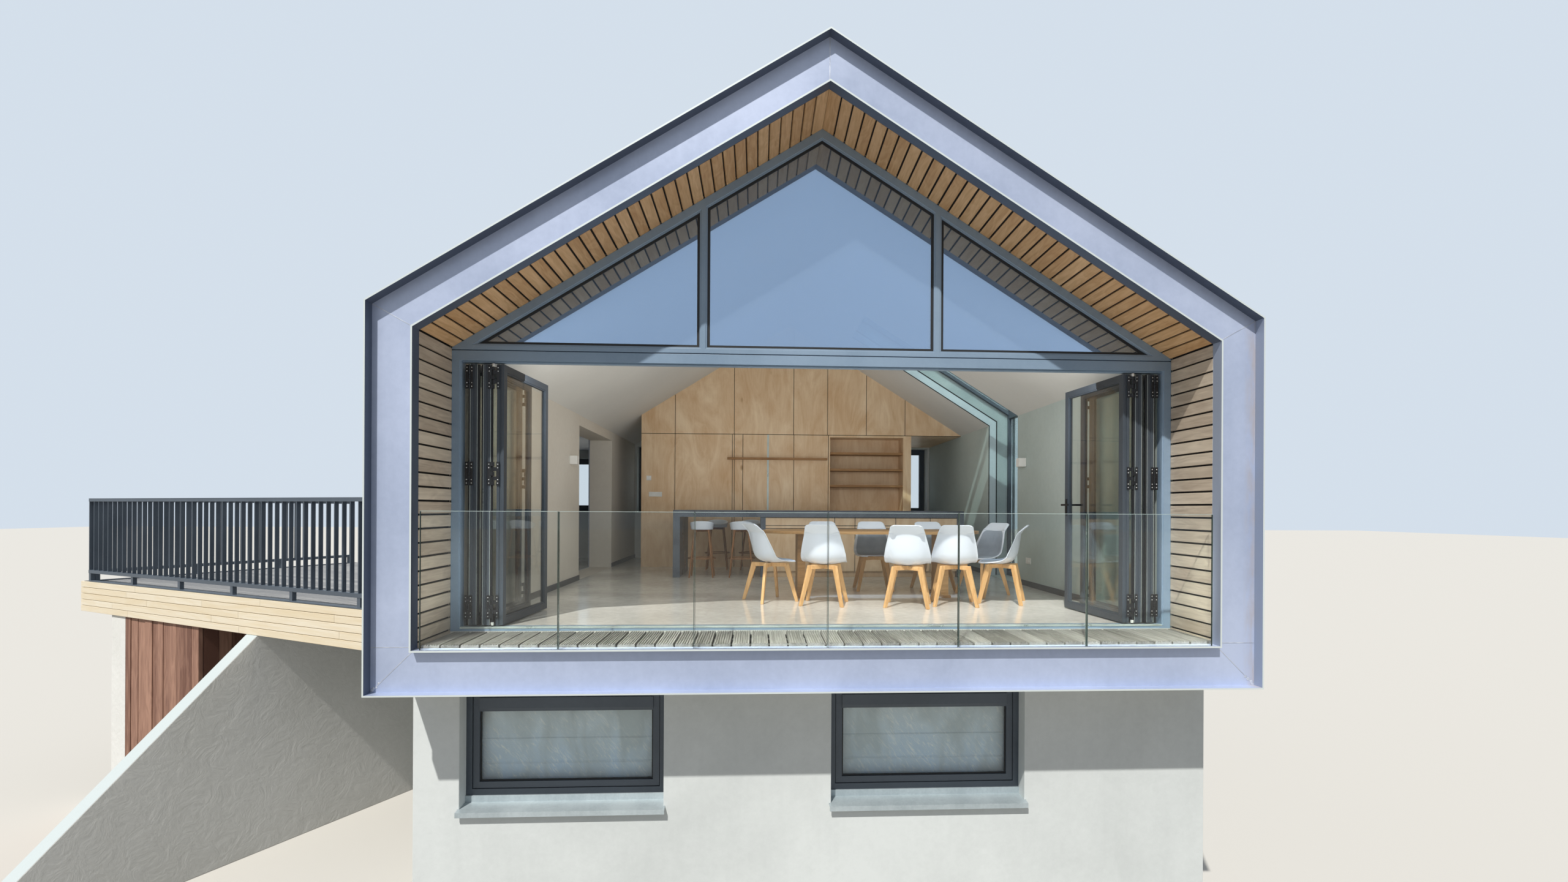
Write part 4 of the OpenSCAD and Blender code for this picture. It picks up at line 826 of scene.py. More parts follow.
def addFascia(deck):
    chance = random.Random(21)
    thick, length, depth = deck["fascia"], deck["length"], deck["depth"]
    half, end = thick * deck["fasciaShare"], length - thick
    step = deck["top"] / deck["fasciaBoards"]
    rest = planed(deck["top"], thick - half, deck["backingEase"])
    board = planed(step - deck["fasciaGap"], half, deck["ease"])
    sides = [  # foot, along, out, start, stop, where the first joint is counted from
        (backward * half, outAlong, -backward, lambda a, o: houseEdge(half - o), length, 0.0),
        (outAlong * (length - half) + backward * half, backward, outAlong, 0, depth - 2 * half, 0.0),
        (backward * (depth - half), outAlong, backward, lambda a, o: baySide(depth - half + o), length,
         baySide(depth)),
    ]
    fascia = []
    for k in range(deck["fasciaBoards"]):
        rise = upward * (k * step + deck["fasciaGap"] / 2)
        for foot, along, out, start, stop, first in sides:
            for a, b in cutRun(start, stop, first, chance, deck):
                fascia.append((terraceCorner + foot + rise, along, upward, out, board, a, b))
    backing = [
        (terraceCorner + foot, along, upward, out, rest, start, stop) for foot, along, out, start, stop in (
            (backward * thick, outAlong, -backward, lambda a, o: houseEdge(thick - o), end),
            (outAlong * end + backward * half, backward, outAlong, 0, depth - 2 * half),
            (backward * (depth - thick), outAlong, backward, lambda a, o: baySide(depth - thick + o), end),
        )
    ]
    runBoards("fasciaBacking", backing, "gapShadeBlack", "pine", 9)
    runBoards("fasciaBoards", fascia, "pineBoard", "pine", 10, ["terrace_fascia"])


addDeck(terrace)
addFascia(terrace)

# Planks of changing width under the terrace, along part of its front and back from there

planks = {
    "start": 4.14, "end": 5.83, "inset": 0.03, "thick": 0.045, "ply": 0.06, "narrow": 0.12, "wide": 0.19,
    "gap": 0.004, "ease": 0.003, "slack": 0.01,
}


def addPlanks(wall):
    chance = random.Random(11)
    boards = []
    height = terrace["foot"]
    frontFoot, endFoot = terraceCorner + backward * wall["inset"], terraceCorner + outAlong * wall["start"]
    for at, last, origin, across, out in (
        (wall["start"], wall["end"], frontFoot, outAlong, backward),
        (wall["inset"] + wall["ply"], terrace["depth"] - wall["inset"], endFoot, backward, outAlong),
    ):
        while at < last - wall["slack"]:
            width = min(chance.uniform(wall["narrow"], wall["wide"]), last - at)
            if last - at - width < wall["narrow"] / 2:
                width = last - at
            lift = chance.uniform(0, wall["ply"] - wall["thick"])
            foot = origin + across * at + out * lift - upward * height
            profile = planed(width - wall["gap"], wall["thick"], wall["ease"])
            boards.append((foot, upward, across, out, profile, 0, height))
            at += width
    runBoards("plankBoards", boards, "plankWood", "plank", 12, ["plank_wall"])


addPlanks(planks)
print("terrace boarded")

# Turned and ring-shaped pieces, added to a form, which is a list of points and one of faces


def addTurned(form, centre, axis, profile, sides=12):
    # Adds a solid of revolution; the profile holds (radius, place along the axis) from foot to tip
    verts, faces = form
    side = axis.orthogonal().normalized()
    other = axis.cross(side)
    base, last = len(verts), len(verts) + (len(profile) - 1) * sides
    for radius, along in profile:
        for k in range(sides):
            angle = 2 * math.pi * k / sides
            spoke = side * math.cos(angle) + other * math.sin(angle)
            verts.append(centre + axis * along + spoke * radius)
    for row in range(base, last, sides):
        for k in range(sides):
            a, b = row + k, row + (k + 1) % sides
            faces.append([a, b, b + sides, a + sides])
    faces += [[base + k for k in range(sides)], [last + k for k in range(sides)]]


def inset(outline, width):
    # Moves a convex outline's corners in by width, as (x, z) points in order
    moved = []
    for k, point in enumerate(outline):
        before, after = outline[k - 1], outline[(k + 1) % len(outline)]
        first = Vector((point[0] - before[0], point[1] - before[1])).normalized()
        second = Vector((after[0] - point[0], after[1] - point[1])).normalized()
        firstIn, secondIn = Vector((-first.y, first.x)), Vector((-second.y, second.x))
        step = (firstIn + secondIn) * (width / (1 + firstIn.dot(secondIn)))
        moved.append((point[0] + step.x, point[1] + step.y))
    return moved


def addRing(form, outline, width, y0, y1):
    verts, faces = form
    inner, count, base = inset(outline, width), len(outline), len(verts)
    for loop, y in ((outline, y0), (inner, y0), (inner, y1), (outline, y1)):
        verts += [Vector((x, y, z)) for x, z in loop]
    for row in range(4):
        here, there = base + row * count, base + (row + 1) % 4 * count
        for k in range(count):
            after = (k + 1) % count
            faces.append([here + k, here + after, there + after, there + k])


# Rubber gaskets round the panes of the gable and of the windows

gaskets = {
    "width": 0.012, "proud": 0.005, "mullionX": 1.015, "mullionWidth": 0.066, "rakeWidth": 0.022,
    "baseWindows": (-2.168, 0.938), "baseSize": (1.685, 0.94), "baseFoot": 1.314, "frameBars": 0.11,
}


def addGaskets(seal):
    form = ([], [])
    low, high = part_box("gable_glass")
    near, far = [seal["mullionX"] + way * seal["mullionWidth"] / 2 for way in (-1, 1)]
    tip = (high.z - low.z) / math.tan(slope)

    def head(x):
        return (x, high.z - abs(x) * math.tan(slope))

    for outline in (
        [(-near, low.z), (near, low.z), head(near), head(0), head(-near)],
        [(far, low.z), (tip, low.z), head(far)],
        [(-tip, low.z), (-far, low.z), head(-far)],
    ):
        addRing(form, outline, seal["rakeWidth"], low.y - seal["proud"], low.y)
        addRing(form, outline, seal["width"], high.y, high.y + seal["proud"])
    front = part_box("window_glass")[0].y
    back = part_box("base_back_wall")[1].y - (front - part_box("base_front_wall")[0].y)
    half, bars = seal["baseSize"][0] / 2 - seal["frameBars"], seal["frameBars"]
    foot, top = seal["baseFoot"] + bars, seal["baseFoot"] + seal["baseSize"][1] - bars
    for x in seal["baseWindows"]:
        for centre, y0, y1 in ((x, front - seal["proud"], front), (-x, back, back + seal["proud"])):
            left, right = centre - half, centre + half
            addRing(form, [(left, foot), (right, foot), (right, top), (left, top)], seal["width"], y0, y1)
    finishPiece("paneGaskets", *form, "gasketRubber", "hardware")


addGaskets(gaskets)

# Door hardware: hinges with split knuckles and pale screws, pins with rollers, levers, seals on the leaves
# The rose is given by width, height and thickness, the lever by length, height and thickness

doorFittings = {
    "stackStart": 0.095, "pitch": 0.110, "leafIn": 0.022, "leafThick": 0.062, "leafWide": 0.98,
    "leafBar": 0.072, "doorFoot": 0.034, "doorHead": 2.629, "leafGap": 0.012, "looseTurn": 86,
    "hinges": (0.07, 0.58, 0.95), "hingeHigh": 0.2, "plate": 0.005, "plateWide": 0.024, "plateEase": 0.001,
    "barrel": 0.0075, "knuckles": 5, "knuckleTip": 0.85, "knuckleGap": 0.001, "knuckleEase": 0.002,
    "ear": 0.004, "earOver": 0.002, "earEase": 0.0005, "jambGap": 0.008, "jambIn": 0.023,
    "leafHingeGap": 0.025, "screwHeights": (-0.08, -0.05, 0.05, 0.08),
    "screw": ((0.0045, 0), (0.0045, 0.0008), (0.0027, 0.0018)), "pin": 0.006, "pinShort": 0.002,
    "roller": 0.013, "rollerHigh": 0.026, "rollerDrop": 0.034, "rollerLift": 0.012,
    "rollerShape": ((0.8, 0), (1, 0.12), (1, 0.88), (0.8, 1)), "handleHigh": 1.05,
    "rose": (0.028, 0.17, 0.008), "roseDown": 0.11, "roseEase": 0.002, "lever": (0.12, 0.02, 0.012),
    "leverOut": 0.045, "leverEase": 0.003, "spindle": 0.009, "grip": 0.012, "stripShort": 0.004,
    "seal": 0.015, "sealPlace": (0.005, 0.016), "sealEase": 0.002,
    "edge": 0.003, "edgePlace": (-0.001, 0.0005), "edgeEase": 0.0004,
}


def leafEnds(door):
    # Foot and head of the clear opening for the leaves
    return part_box("door_frame")[0].z + door["doorFoot"], tubeFoot + door["doorHead"]


def addHinge(door, x, y, z, facing, gap, bars, knuckles, screws):
    half, radius, plate = door["hingeHigh"] / 2, door["barrel"], facing * door["plate"]
    for way in (-1, 1):
        near, far = x + way * gap, x + way * (gap + door["plateWide"])
        bars.append(bar(near, far, y, y - plate, z - half, z + half, door["plateEase"]))
        for rise in door["screwHeights"]:
            centre = Vector(((near + far) / 2, y - plate, z + rise))
            addTurned(screws, centre, intoHouse * -facing, door["screw"], sides=10)
    step, small = 2 * half / door["knuckles"], radius * door["knuckleTip"]
    low, ease = door["knuckleGap"], door["knuckleEase"]
    ring = [(small, low), (radius, ease), (radius, step - low - ease), (small, step - ease)]
    for k in range(door["knuckles"]):
        foot = z - half + k * step
        addTurned(knuckles, Vector((x, y - plate / 2, foot)), upward, ring, sides=14)
        if gap > radius:
            over = (1 if k % 2 else -1) * (gap + door["earOver"])
            z0, z1 = foot + door["ear"], foot + step - door["ear"]
            bars.append(bar(x, x + over, y, y - plate, z0, z1, door["earEase"]))


def addLever(door, face, along, out, bars, knuckles):
    wide, tall, thick = door["rose"]
    length, deep, flat = door["lever"]
    rose = planed(wide, thick, door["roseEase"])
    bars.append((face - along * wide / 2 - upward * door["roseDown"], upward, along, out, rose, 0, tall))
    spindle = [(door["spindle"], 0), (door["spindle"], door["leverOut"] - thick)]
    addTurned(knuckles, face + out * thick, out, spindle)
    grip = face + out * door["leverOut"] + along * door["grip"] - upward * deep / 2
    bars.append((grip, -along, upward, out, planed(deep, flat, door["leverEase"]), 0, length + door["grip"]))


def addDoorHardware(door):
    bars, knuckles, screws, rollers = [], ([], []), ([], []), ([], [])
    foot, head = leafEnds(door)
    leafFoot, leafHigh = foot + door["leafGap"], head - foot - 2 * door["leafGap"]
    leafFront = glazingFront + door["leafIn"]
    first, second, third = [roomHalf - door["stackStart"] - k * door["pitch"] for k in range(3)]
    heights = [leafFoot + share * leafHigh for share in door["hinges"]]
    wheel = [(door["roller"] * wide, door["rollerHigh"] * rise) for wide, rise in door["rollerShape"]]
    pinFront = leafFront - door["plate"] / 2
    ajar = math.radians(door["looseTurn"])
    for side in (-1, 1):
        for z in heights:
            for x, y, facing, gap in (
                ((first + roomHalf - door["jambIn"]) / 2, leafFront, 1, door["jambGap"]),
                ((second + third) / 2, leafFront, 1, door["leafHingeGap"]),
                ((first + second) / 2, leafFront + door["leafWide"], -1, door["leafHingeGap"]),
            ):
                addHinge(door, side * x, y, z, facing, gap, bars, knuckles, screws)
        x = side * (second + third) / 2
        for z0, z1 in ((foot, heights[0]), (heights[-1], head - door["pinShort"])):
            addTurned(knuckles, Vector((x, pinFront, z0)), upward, [(door["pin"], 0), (door["pin"], z1 - z0)])
        for z in (head - door["rollerDrop"], foot + door["rollerLift"]):
            addTurned(rollers, Vector((x, pinFront, z)), upward, wheel, sides=16)
    # Only the loose leaf on the right has levers, one on each face
    along = Vector((-math.cos(ajar), math.sin(ajar), 0))
    offLeaf = Vector((-math.sin(ajar), -math.cos(ajar), 0))
    start = Vector((third, leafFront + door["leafThick"] / 2 * math.cos(ajar), leafFoot + door["handleHigh"]))
    centre = start + along * (door["leafWide"] - door["leafBar"] / 2)
    for out in (-offLeaf, offLeaf):
        addLever(door, centre + out * door["leafThick"] / 2, along, out, bars, knuckles)
    runBoards("doorPlates", bars, "darkHardware", "hardware", 41, ["door_hardware"])
    finishPiece("doorKnuckles", *knuckles, "darkHardware", "hardware", ["door_hardware"])
    finishPiece("hingeScrews", *screws, "screwSteel", "hardware")
    finishPiece("leafRollers", *rollers, "switchWhite", "hardware")


def addLeafEdges(door):
    # Rubber lips beside the stacked leaves, and thin pale metal strips on their profiles' edges, partly a
    # painted highlight for the glint of those edges
    seals, edges = [], []
    foot, head = leafEnds(door)
    ends = (foot + door["leafGap"] + door["stripShort"], head - door["leafGap"] - door["stripShort"])
    half, front = door["leafThick"] / 2, glazingFront + door["leafIn"]
    reaches = (half, half + door["seal"], half - door["edge"])
    lip, edge = [[front + y for y in door[label]] for label in ("sealPlace", "edgePlace")]
    for side in (-1, 1):
        for k in range(2):
            x = side * (roomHalf - door["stackStart"] - k * door["pitch"])
            for way in (-1, 1):
                face, out, inner = [x + way * reach for reach in reaches]
                seals.append(bar(face, out, *lip, *ends, door["sealEase"]))
                edges.append(bar(inner, face, *edge, *ends, door["edgeEase"]))
    runBoards("leafSeals", seals, "gasketRubber", "hardware", 42)
    # Pale strips on the profile edges, partly a painted highlight
    runBoards("leafEdgeGlints", edges, "thresholdMetal", "frame_grey", 43)


addDoorHardware(doorFittings)
addLeafEdges(doorFittings)

# Bare edges of the balustrade's panes: greenish and darkened down the joints as painted shade, pale along the
# top as a painted highlight

paneEdges = {"panes": 6, "gap": 0.012, "edge": 0.003, "arris": 0.003, "arrisEase": 0.001, "edgeEase": 0.0005}


def addPaneEdges(edge):
    low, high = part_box("balcony_glass")
    width = (high.x - low.x - (edge["panes"] - 1) * edge["gap"]) / edge["panes"]
    uprights, tops = [], []
    for k in range(edge["panes"]):
        left = low.x + k * (width + edge["gap"])
        tops.append(bar(left, left + width, low.y, high.y, high.z, high.z + edge["arris"], edge["arrisEase"]))
        for x in (left - edge["edge"], left + width):
            uprights.append(bar(x, x + edge["edge"], low.y, high.y, low.z, high.z, edge["edgeEase"]))
    runBoards("paneSides", uprights, "glassSideShade", "glass", 44)
    runBoards("paneTops", tops, "glassTopHighlight", "glass", 45)


addPaneEdges(paneEdges)

# Lining of the far reveal of the strip window, as bands that run down the roof slope and on down the wall;
# the inner glossy blue-grey band is a painted sky reflection for glass seen edge-on

stripLining = {
    "start": 0.90, "thick": 0.004,
    "bands": ((0.400, 0.300, "liningMetal"), (0.282, 0.122, "liningGloss")),  # outer and inner edge, set in
    "seals": ((0.413, 0.400), (0.300, 0.282)),
}


def addBand(form, lining, outer, inner):
    verts, faces = form
    far, base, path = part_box("roof_window_frame")[1].y, len(verts), []
    for t in (outer, inner):
        eave, ridge = rimPoint(t, 1)
        top = eave.lerp(ridge, (eave.x - lining["start"]) / eave.x)
        line = [(top.x, top.z), (eave.x, eave.z), (eave.x, floorTop)]
        path += line if t == outer else line[::-1]
    verts += [Vector((x, y, z)) for y in (far - lining["thick"], far) for x, z in path]
    count = len(path)
    loops = [[0, 1, 4, 5], [1, 2, 3, 4], [11, 10, 7, 6], [10, 9, 8, 7]]  # two on each side, then the rim
    loops += [[k, (k + 1) % count, count + (k + 1) % count, count + k] for k in range(count)]
    faces += [[base + k for k in loop] for loop in loops]


def addStripLining(lining):
    seals = ([], [])
    for outer, inner, finish in lining["bands"]:
        form = ([], [])
        addBand(form, lining, outer, inner)
        finishPiece(finish + "Band", *form, finish, "frame_grey")
    for outer, inner in lining["seals"]:
        addBand(seals, lining, outer, inner)
    finishPiece("stripSeals", *seals, "gasketRubber", "hardware")


addStripLining(stripLining)

# Pale threshold nosing under the doors and dark skirting along the room's walls

roomEdges = {
    "nosing": 0.034, "nosingDrop": 0.012, "nosingRise": 0.002, "nosingDeep": (-0.004, 0.03),
    "skirting": 0.07, "skirtingThick": 0.012,
    "runs": {1: ((0.765, 4.0), (5.17, 6.6)), -1: ((0.765, 4.45), (6.56, 8.76))},  # right and left wall
}


def addRoomEdges(edges):
    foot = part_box("door_frame")[0].z + edges["nosing"]
    front, back = [glazingFront + y for y in edges["nosingDeep"]]
    nosing = bar(-roomHalf, roomHalf, front, back, foot - edges["nosingDrop"], foot + edges["nosingRise"])
    runBoards("thresholdNosing", [nosing], "thresholdMetal", "sill_grey", 31)
    skirting, top = [], floorTop + edges["skirting"]
    for side, runs in edges["runs"].items():
        x0, x1 = side * (roomHalf - edges["skirtingThick"]), side * roomHalf
        for start, end in runs:
            skirting.append(bar(x0, x1, rimFront + start, rimFront + end, floorTop, top))
    runBoards("skirtingBoards", skirting, "skirtingGrey", "hardware", 32)


addRoomEdges(roomEdges)

# Joints between the plywood panels and the cabinet's drawers, as fine dark strips of painted shade for the
# shaded grooves and gaps, with one pale edge strip
# Upright joints are given by their places across, level ones by their heights over the tube's foot

panelJoints = {
    "width": 0.009, "proud": 0.0008, "letIn": 0.0005, "ease": 0.0002, "splitHeight": 2.697, "short": 0.003,
    "upper": (-1.966, -0.947, 0.081, 0.675, 1.355, 2.040),
    "lower": (-1.966, -0.981, -0.945, -0.798, 0.086, 0.690),
    "drawers": (0.600, 0.903, 1.513, 2.030), "drawerLines": (1.276, 1.160, 1.118), "drawerFoot": 0.09,
    "paleStrip": (-0.378, -0.346), "paleProud": 0.004,
}


def addPanelJoints(joint):
    low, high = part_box("plywood_wall")
    cabinetLow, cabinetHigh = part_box("island_cabinet")
    wall, cabinet = [(face - joint["proud"], face + joint["letIn"]) for face in (low.y, cabinetLow.y)]
    half, split = joint["width"] / 2, tubeFoot + joint["splitHeight"]
    strips = []

    def upright(x, z0, z1, depth=wall):
        strips.append(bar(x - half, x + half, *depth, z0, z1, joint["ease"]))

    def level(z, x0, x1, depth=wall):
        strips.append(bar(x0, x1, *depth, z - half, z + half, joint["ease"]))

    for x in joint["upper"]:
        upright(x, split, high.z - abs(x) * math.tan(slope) - joint["short"])
    for x in joint["lower"]:
        upright(x, floorTop, split)
    level(split, low.x, high.x)
    for x in joint["drawers"]:
        upright(x, floorTop + joint["drawerFoot"], cabinetHigh.z, cabinet)
    for z in joint["drawerLines"]:
        level(tubeFoot + z, cabinetLow.x, cabinetHigh.x, cabinet)
    runBoards("panelJoints", strips, "gapShadeBlack", "plywood", 33)
    pale = bar(*joint["paleStrip"], low.y - joint["paleProud"], wall[1], floorTop, split - half)
    runBoards("panelEdgeStrip", [pale], "thresholdMetal", "sill_grey", 34)


addPanelJoints(panelJoints)

# Switches and sockets: rounded plates with a raised rocker or a sunk ring in each gang
# Their places are across or back, and the height over the tube's foot

plates = {
    "gang": 0.071, "border": 0.005, "thick": 0.009, "ease": 0.002, "rim": 0.008, "rocker": 0.004,
    "rockerEase": 0.0015, "ring": ((0.019, 0), (0.019, 0.003), (0.016, 0.003), (0.015, 0.0005)),
    "switch": (-2.41, 1.927), "row": (-2.297, 1.648), "rowGangs": 3, "socket": (3.61, 0.735),
    "socketGangs": 2,
}


def addPlates(plate):
    boards, rings = [], ([], [])
    gang, thick, border = plate["gang"], plate["thick"], plate["border"]
    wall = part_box("plywood_wall")[0].y
    for (x, z), gangs in ((plate["switch"], 1), (plate["row"], plate["rowGangs"])):
        half, z = gang * gangs / 2 + border, z + tubeFoot
        z0, z1 = z - gang / 2 - border, z + gang / 2 + border
        boards.append(bar(x - half, x + half, wall - thick, wall, z0, z1, plate["ease"]))
        if gangs == 1:
            inner, out = gang / 2 - plate["rim"], wall - thick - plate["rocker"]
            rocker = (x - inner, x + inner, out, wall - thick, z - inner, z + inner)
            boards.append(bar(*rocker, plate["rockerEase"]))
        else:
            for k in range(gangs):
                centre = Vector((x + (k - (gangs - 1) / 2) * gang, wall - thick, z))
                addTurned(rings, centre, -intoHouse, plate["ring"], sides=20)
    y, z = rimFront + plate["socket"][0], tubeFoot + plate["socket"][1]
    half = gang * plate["socketGangs"] / 2 + border
    z0, z1 = z - gang / 2 - border, z + gang / 2 + border
    boards.append(bar(roomHalf - thick, roomHalf, y - half, y + half, z0, z1, plate["ease"]))
    for way in (-1, 1):
        addTurned(rings, Vector((roomHalf - thick, y + way * gang / 2, z)), -acrossX, plate["ring"], sides=20)
    runBoards("switchPlates", boards, "switchWhite", "lamp", 35)
    finishPiece("socketRings", *rings, "switchWhite", "lamp")


addPlates(plates)
print("room fitted")

# Chairs: a moulded shell with wings, a rolled edge and a thin padded liner, in the chair's own frame

chairs = {
    "places": [  # across, back from the front rim, turn
        (0.167, 2.018, -14), (1.031, 1.872, -16), (1.545, 1.960, -10), (-0.400, 2.300, -62),
        (2.150, 2.830, 114), (2.125, 2.130, 65), (0.289, 3.290, 180), (0.914, 3.290, 178),
        (1.673, 3.290, 183),
    ],
    "stations": [  # distance back, height, half width and rise of the wings, from the front edge to the top
        (-0.237, 0.443, 0.172, 0.000), (-0.212, 0.446, 0.205, 0.004), (-0.150, 0.437, 0.226, 0.016),
        (-0.060, 0.429, 0.236, 0.034), (0.030, 0.431, 0.240, 0.056), (0.105, 0.456, 0.240, 0.080),
        (0.150, 0.510, 0.237, 0.090), (0.171, 0.585, 0.226, 0.080), (0.184, 0.665, 0.208, 0.060),
        (0.192, 0.735, 0.190, 0.040), (0.1955, 0.752, 0.186, 0.032), (0.1965, 0.756, 0.185, 0.030),
        (0.199, 0.7595, 0.184, 0.029), (0.220, 0.790, 0.176, 0.018), (0.245, 0.824, 0.168, 0.008),
        (0.262, 0.842, 0.164, 0.003), (0.269, 0.850, 0.162, 0.000),
    ],
    "rows": 56, "columns": 23, "thick": 0.007, "corners": (0.07, 0.03), "wingCurve": 2.3, "roll": 0.012,
    "rollFrom": 0.88,
}
liner = {
    "rows": (3, 38), "shrink": 0.86, "corners": (0.07, 0.05), "seat": 0.024, "back": 0.012, "edge": 0.002,
    "thinFrom": 0.35, "thinOver": 0.3, "roundAcross": 5, "roundAlong": 9, "lift": 0.0005, "fill": 0.5,
}


def smoothRows(stations, count):
    # Rows of a smooth curve through the stations, evenly shared between them
    rows, last = [], len(stations) - 1
    for k in range(count):
        at = k / (count - 1) * last
        i = min(int(at), last - 1)
        f = at - i
        p = [Vector(stations[max(0, min(last, i + d))]) for d in (-1, 0, 1, 2)]
        square = (2 * p[0] - 5 * p[1] + 4 * p[2] - p[3]) * f ** 2
        cubic = (3 * p[1] - p[0] - 3 * p[2] + p[3]) * f ** 3
        rows.append(0.5 * (2 * p[1] + (p[2] - p[0]) * f + square + cubic))
    return rows


def seatGrid(rows, shrink, corners, lift):
    # Points over the seat's inner face; lift(q, s) moves them off it, by the share along and across
    reach = [0.0]
    for a, b in zip(rows, rows[1:]):
        reach.append(reach[-1] + math.hypot(b[0] - a[0], b[1] - a[1]))
    grid, last = [], chairs["columns"] - 1
    for k, (back, height, half, wing) in enumerate(rows):
        before, after = rows[max(0, k - 1)], rows[min(len(rows) - 1, k + 1)]
        span = math.hypot(after[0] - before[0], after[1] - before[1])
        normal = ((before[1] - after[1]) / span, (after[0] - before[0]) / span)
        near = min(reach[k], reach[-1] - reach[k])
        corner = corners[0] if reach[k] < reach[-1] / 2 else corners[1]
        wide = half * shrink
        if near < corner:
            wide -= corner - math.sqrt(corner ** 2 - (corner - near) ** 2)
        line = []
        for j in range(last + 1):
            s = math.sin((2 * j / last - 1) * math.pi / 2)
            rise = wing * abs(wide * s / half) ** chairs["wingCurve"] + lift(reach[k] / reach[-1], s)
            line.append(Vector((wide * s, -(back + normal[0] * rise), height + normal[1] * rise)))
        grid.append(line)
    return grid


def closedForm(upper, lower):
    # Joins two grids of points round their edges into one closed form
    height, width = len(upper), len(upper[0])
    verts = [p for line in (*upper, *lower) for p in line]
    other = height * width
    faces = []
    for i in range(height - 1):
        for a in range(i * width, (i + 1) * width - 1):
            quad = [a, a + 1, a + width + 1, a + width]
            faces += [quad, [other + k for k in reversed(quad)]]
    edge = list(range(width - 1)) + [i * width + width - 1 for i in range(height - 1)]
    edge += [other - 1 - j for j in range(width - 1)] + [i * width for i in reversed(range(1, height))]
    faces += [[edge[k - 1], edge[k], other + edge[k], other + edge[k - 1]] for k in range(len(edge))]
    return verts, faces


def addChairs(chair, pad):
    rows = smoothRows(chair["stations"], chair["rows"])
    padRows = rows[slice(*pad["rows"])]

    def rolled(q, s):
        return -chair["roll"] * max(0.0, (abs(s) - chair["rollFrom"]) / (1 - chair["rollFrom"])) ** 2

    def crown(q, s):
        thinned = min(1.0, max(0.0, (q - pad["thinFrom"]) / pad["thinOver"]))
        thick = pad["seat"] + (pad["back"] - pad["seat"]) * thinned
        rounded = (1 - abs(s) ** pad["roundAcross"]) * (1 - abs(2 * q - 1) ** pad["roundAlong"])
        return pad["edge"] + thick * rounded

    shellVerts, shellFaces = closedForm(
        seatGrid(rows, 1.0, chair["corners"], rolled),
        seatGrid(rows, 1.0, chair["corners"], lambda q, s: rolled(q, s) - chair["thick"]))
    padVerts, padFaces = closedForm(
        seatGrid(padRows, pad["shrink"], pad["corners"], crown),
        seatGrid(padRows, pad["shrink"], pad["corners"], lambda q, s: pad["lift"]))
    verts, faces = [], []
    for k, (x, y, turnBy) in enumerate(chair["places"]):
        turnedBy = Matrix.Rotation(math.radians(turnBy), 4, "Z")
        stand = Matrix.Translation((x, rimFront + y, floorTop)) @ turnedBy
        faces += [[len(verts) + i for i in face] for face in shellFaces]
        verts += [stand @ v for v in shellVerts]
        placed = [stand @ v for v in padVerts]
        piece = finishPiece(f"chairLiner{k + 1}", placed, padFaces, "padLeather", "chair_shell", smooth=True)
    finishPiece("chairShells", verts, faces, "chairShell", "chair_shell", ["chair_shells"], smooth=True)


addChairs(chairs, liner)
print("chairs made")

# Roman blinds behind the base windows, each one sheet with sewn tucks that stand forward a little

blinds = {
    "centres": gaskets["baseWindows"], "width": 1.625, "folds": (0.185, 0.555, 0.785), "hem": 0.965,
    "tuck": 0.008, "tuckHalf": 0.006, "tuckRows": (-2, -1, -0.5, 0, 0.5, 1, 2), "columns": 48, "rows": 46,
    "wrinkle": 0.005, "waves": (3, 7, 4), "fineScale": 3.1, "fineShare": 0.5, "top": 0.002,
    "bottom": 0.012, "in": 0.014,
}


def addBlinds(blind):
    low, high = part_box("base_blinds")
    top, bottom = high.z - blind["top"], low.z + blind["bottom"]
    drop, columns = top - bottom, blind["columns"]
    folds = (*blind["folds"], blind["hem"])
    shares = {k / blind["rows"] for k in range(blind["rows"] + 1)}
    for fold in folds:
        shares |= {fold + d * blind["tuckHalf"] / drop for d in blind["tuckRows"]}
    shares = sorted(shares)
    across, apart, down = blind["waves"]
    places = [(out, y, x) for out, y in ((-1, low.y + blind["in"]), (1, high.y - blind["in"]))
              for x in blind["centres"]]
    for number, (out, depth, centre) in enumerate(places, 1):
        verts, faces = [], []
        for share in shares:
            tucks = sum(math.exp(-((share - fold) * drop / blind["tuckHalf"]) ** 2) for fold in folds)
            for j in range(columns + 1):
                x = (j / columns - 0.5) * blind["width"]
                spot = Vector((x * across + number * apart, 0, share * down))
                fine = waves.noise(spot * blind["fineScale"])
                wrinkle = waves.noise(spot) + blind["fineShare"] * fine
                push = blind["wrinkle"] * wrinkle + blind["tuck"] * tucks
                verts.append(Vector((-out * centre + x, depth + out * push, top - share * drop)))
        for i in range(len(shares) - 1):
            for a in range(i * (columns + 1), i * (columns + 1) + columns):
                faces.append([a, a + 1, a + columns + 2, a + columns + 1])
        piece = finishPiece(
            f"romanBlind{number}", verts, faces, "blindCloth", "blind", ["base_blinds"], smooth=True)


addBlinds(blinds)
print("blinds hung")

# Soldered seams on the front frame: a thin bead along each mitre and across each post, with lumps at the foot

seams = {
    "width": 0.006, "proud": 0.0015, "ease": 0.0004, "band": (0.014, 0.320), "postSeam": 0.350,
    "plate": 0.092, "lumps": (0.03, 0.075, 0.13, 0.2), "lump": 0.013, "lumpSizes": (0.6, 1.2), "stray": 0.008,
    "dome": ((1, 0), (0.8, 0.0012), (0.35, 0.002)),
}


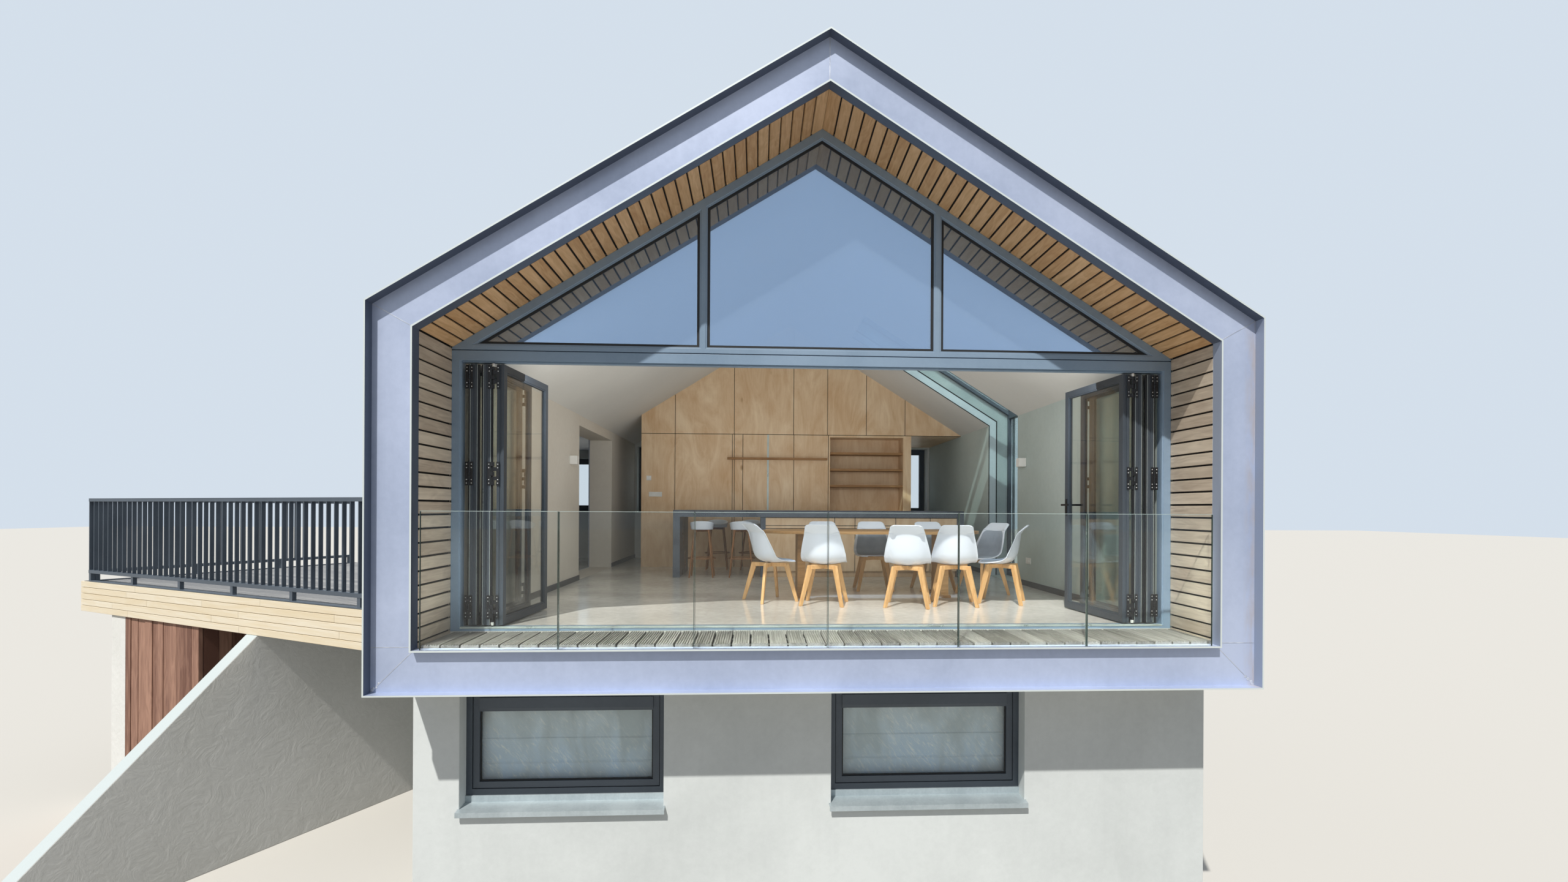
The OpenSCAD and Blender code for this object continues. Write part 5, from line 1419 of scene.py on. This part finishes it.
def addSeams(seam):
    plateFront = rimFront + seam["plate"]
    profile = planed(seam["width"], seam["proud"], seam["ease"])
    outer, inner = seam["band"]
    chance = random.Random(17)
    beads, lumps = [], ([], [])

    def bead(a, b):
        a, b = Vector((a.x, plateFront, a.z)), Vector((b.x, plateFront, b.z))
        along = (b - a).normalized()
        across = along.cross(intoHouse)
        beads.append((a - across * seam["width"] / 2, along, across, -intoHouse, profile, 0, (b - a).length))

    for side in (-1, 1):
        foot = [Vector((side * (halfWidth - t), 0, tubeFoot + t)) for t in seam["band"]]
        bead(*foot)
        bead(rimPoint(outer, side)[0], rimPoint(inner, side)[0])
        bead(*[Vector((point.x, 0, tubeFoot + seam["postSeam"])) for point in foot])
        for share in seam["lumps"]:
            stray = Vector((chance.uniform(-1, 1), 0, chance.uniform(-1, 1))) * seam["stray"]
            spot = foot[0].lerp(foot[1], share) + stray
            radius = seam["lump"] * chance.uniform(*seam["lumpSizes"])
            dome = [(radius * wide, high) for wide, high in seam["dome"]]
            addTurned(lumps, Vector((spot.x, plateFront, spot.z)), -intoHouse, dome, sides=11)
    bead(rimPoint(outer, 1)[1], rimPoint(inner, 1)[1])
    runBoards("solderedSeams", beads, "solder", "zinc_front", 13)
    finishPiece("solderLumps", *lumps, "solder", "zinc_front", smooth=True)


addSeams(seams)
print("seams soldered")

# Pale floor, which isn't part of the object: the camera sees one tone and the house gets the light of another

floorPaint = {"size": 240, "thrown": "#9c9993", "seen": "#dedbd4", "rough": 0.9}


def addFloor(paint):
    half = paint["size"] / 2
    mesh = bpy.data.meshes.new("studioFloor")
    corners = [(-half, -half, 0), (half, -half, 0), (half, half, 0), (-half, half, 0)]
    mesh.from_pydata(corners, [], [(0, 1, 2, 3)])
    material, tree, shader = startMaterial("floorPaint", {"Roughness": paint["rough"]})
    shown = mixColours(tree, seenRay(tree), linear(paint["thrown"]), linear(paint["seen"]))
    wire(tree, shader.inputs["Base Color"], shown)
    mesh.materials.append(material)
    studioFloor = addObject("studioFloor", mesh)


addFloor(floorPaint)

bpy.context.scene.view_settings.view_transform = "Standard"
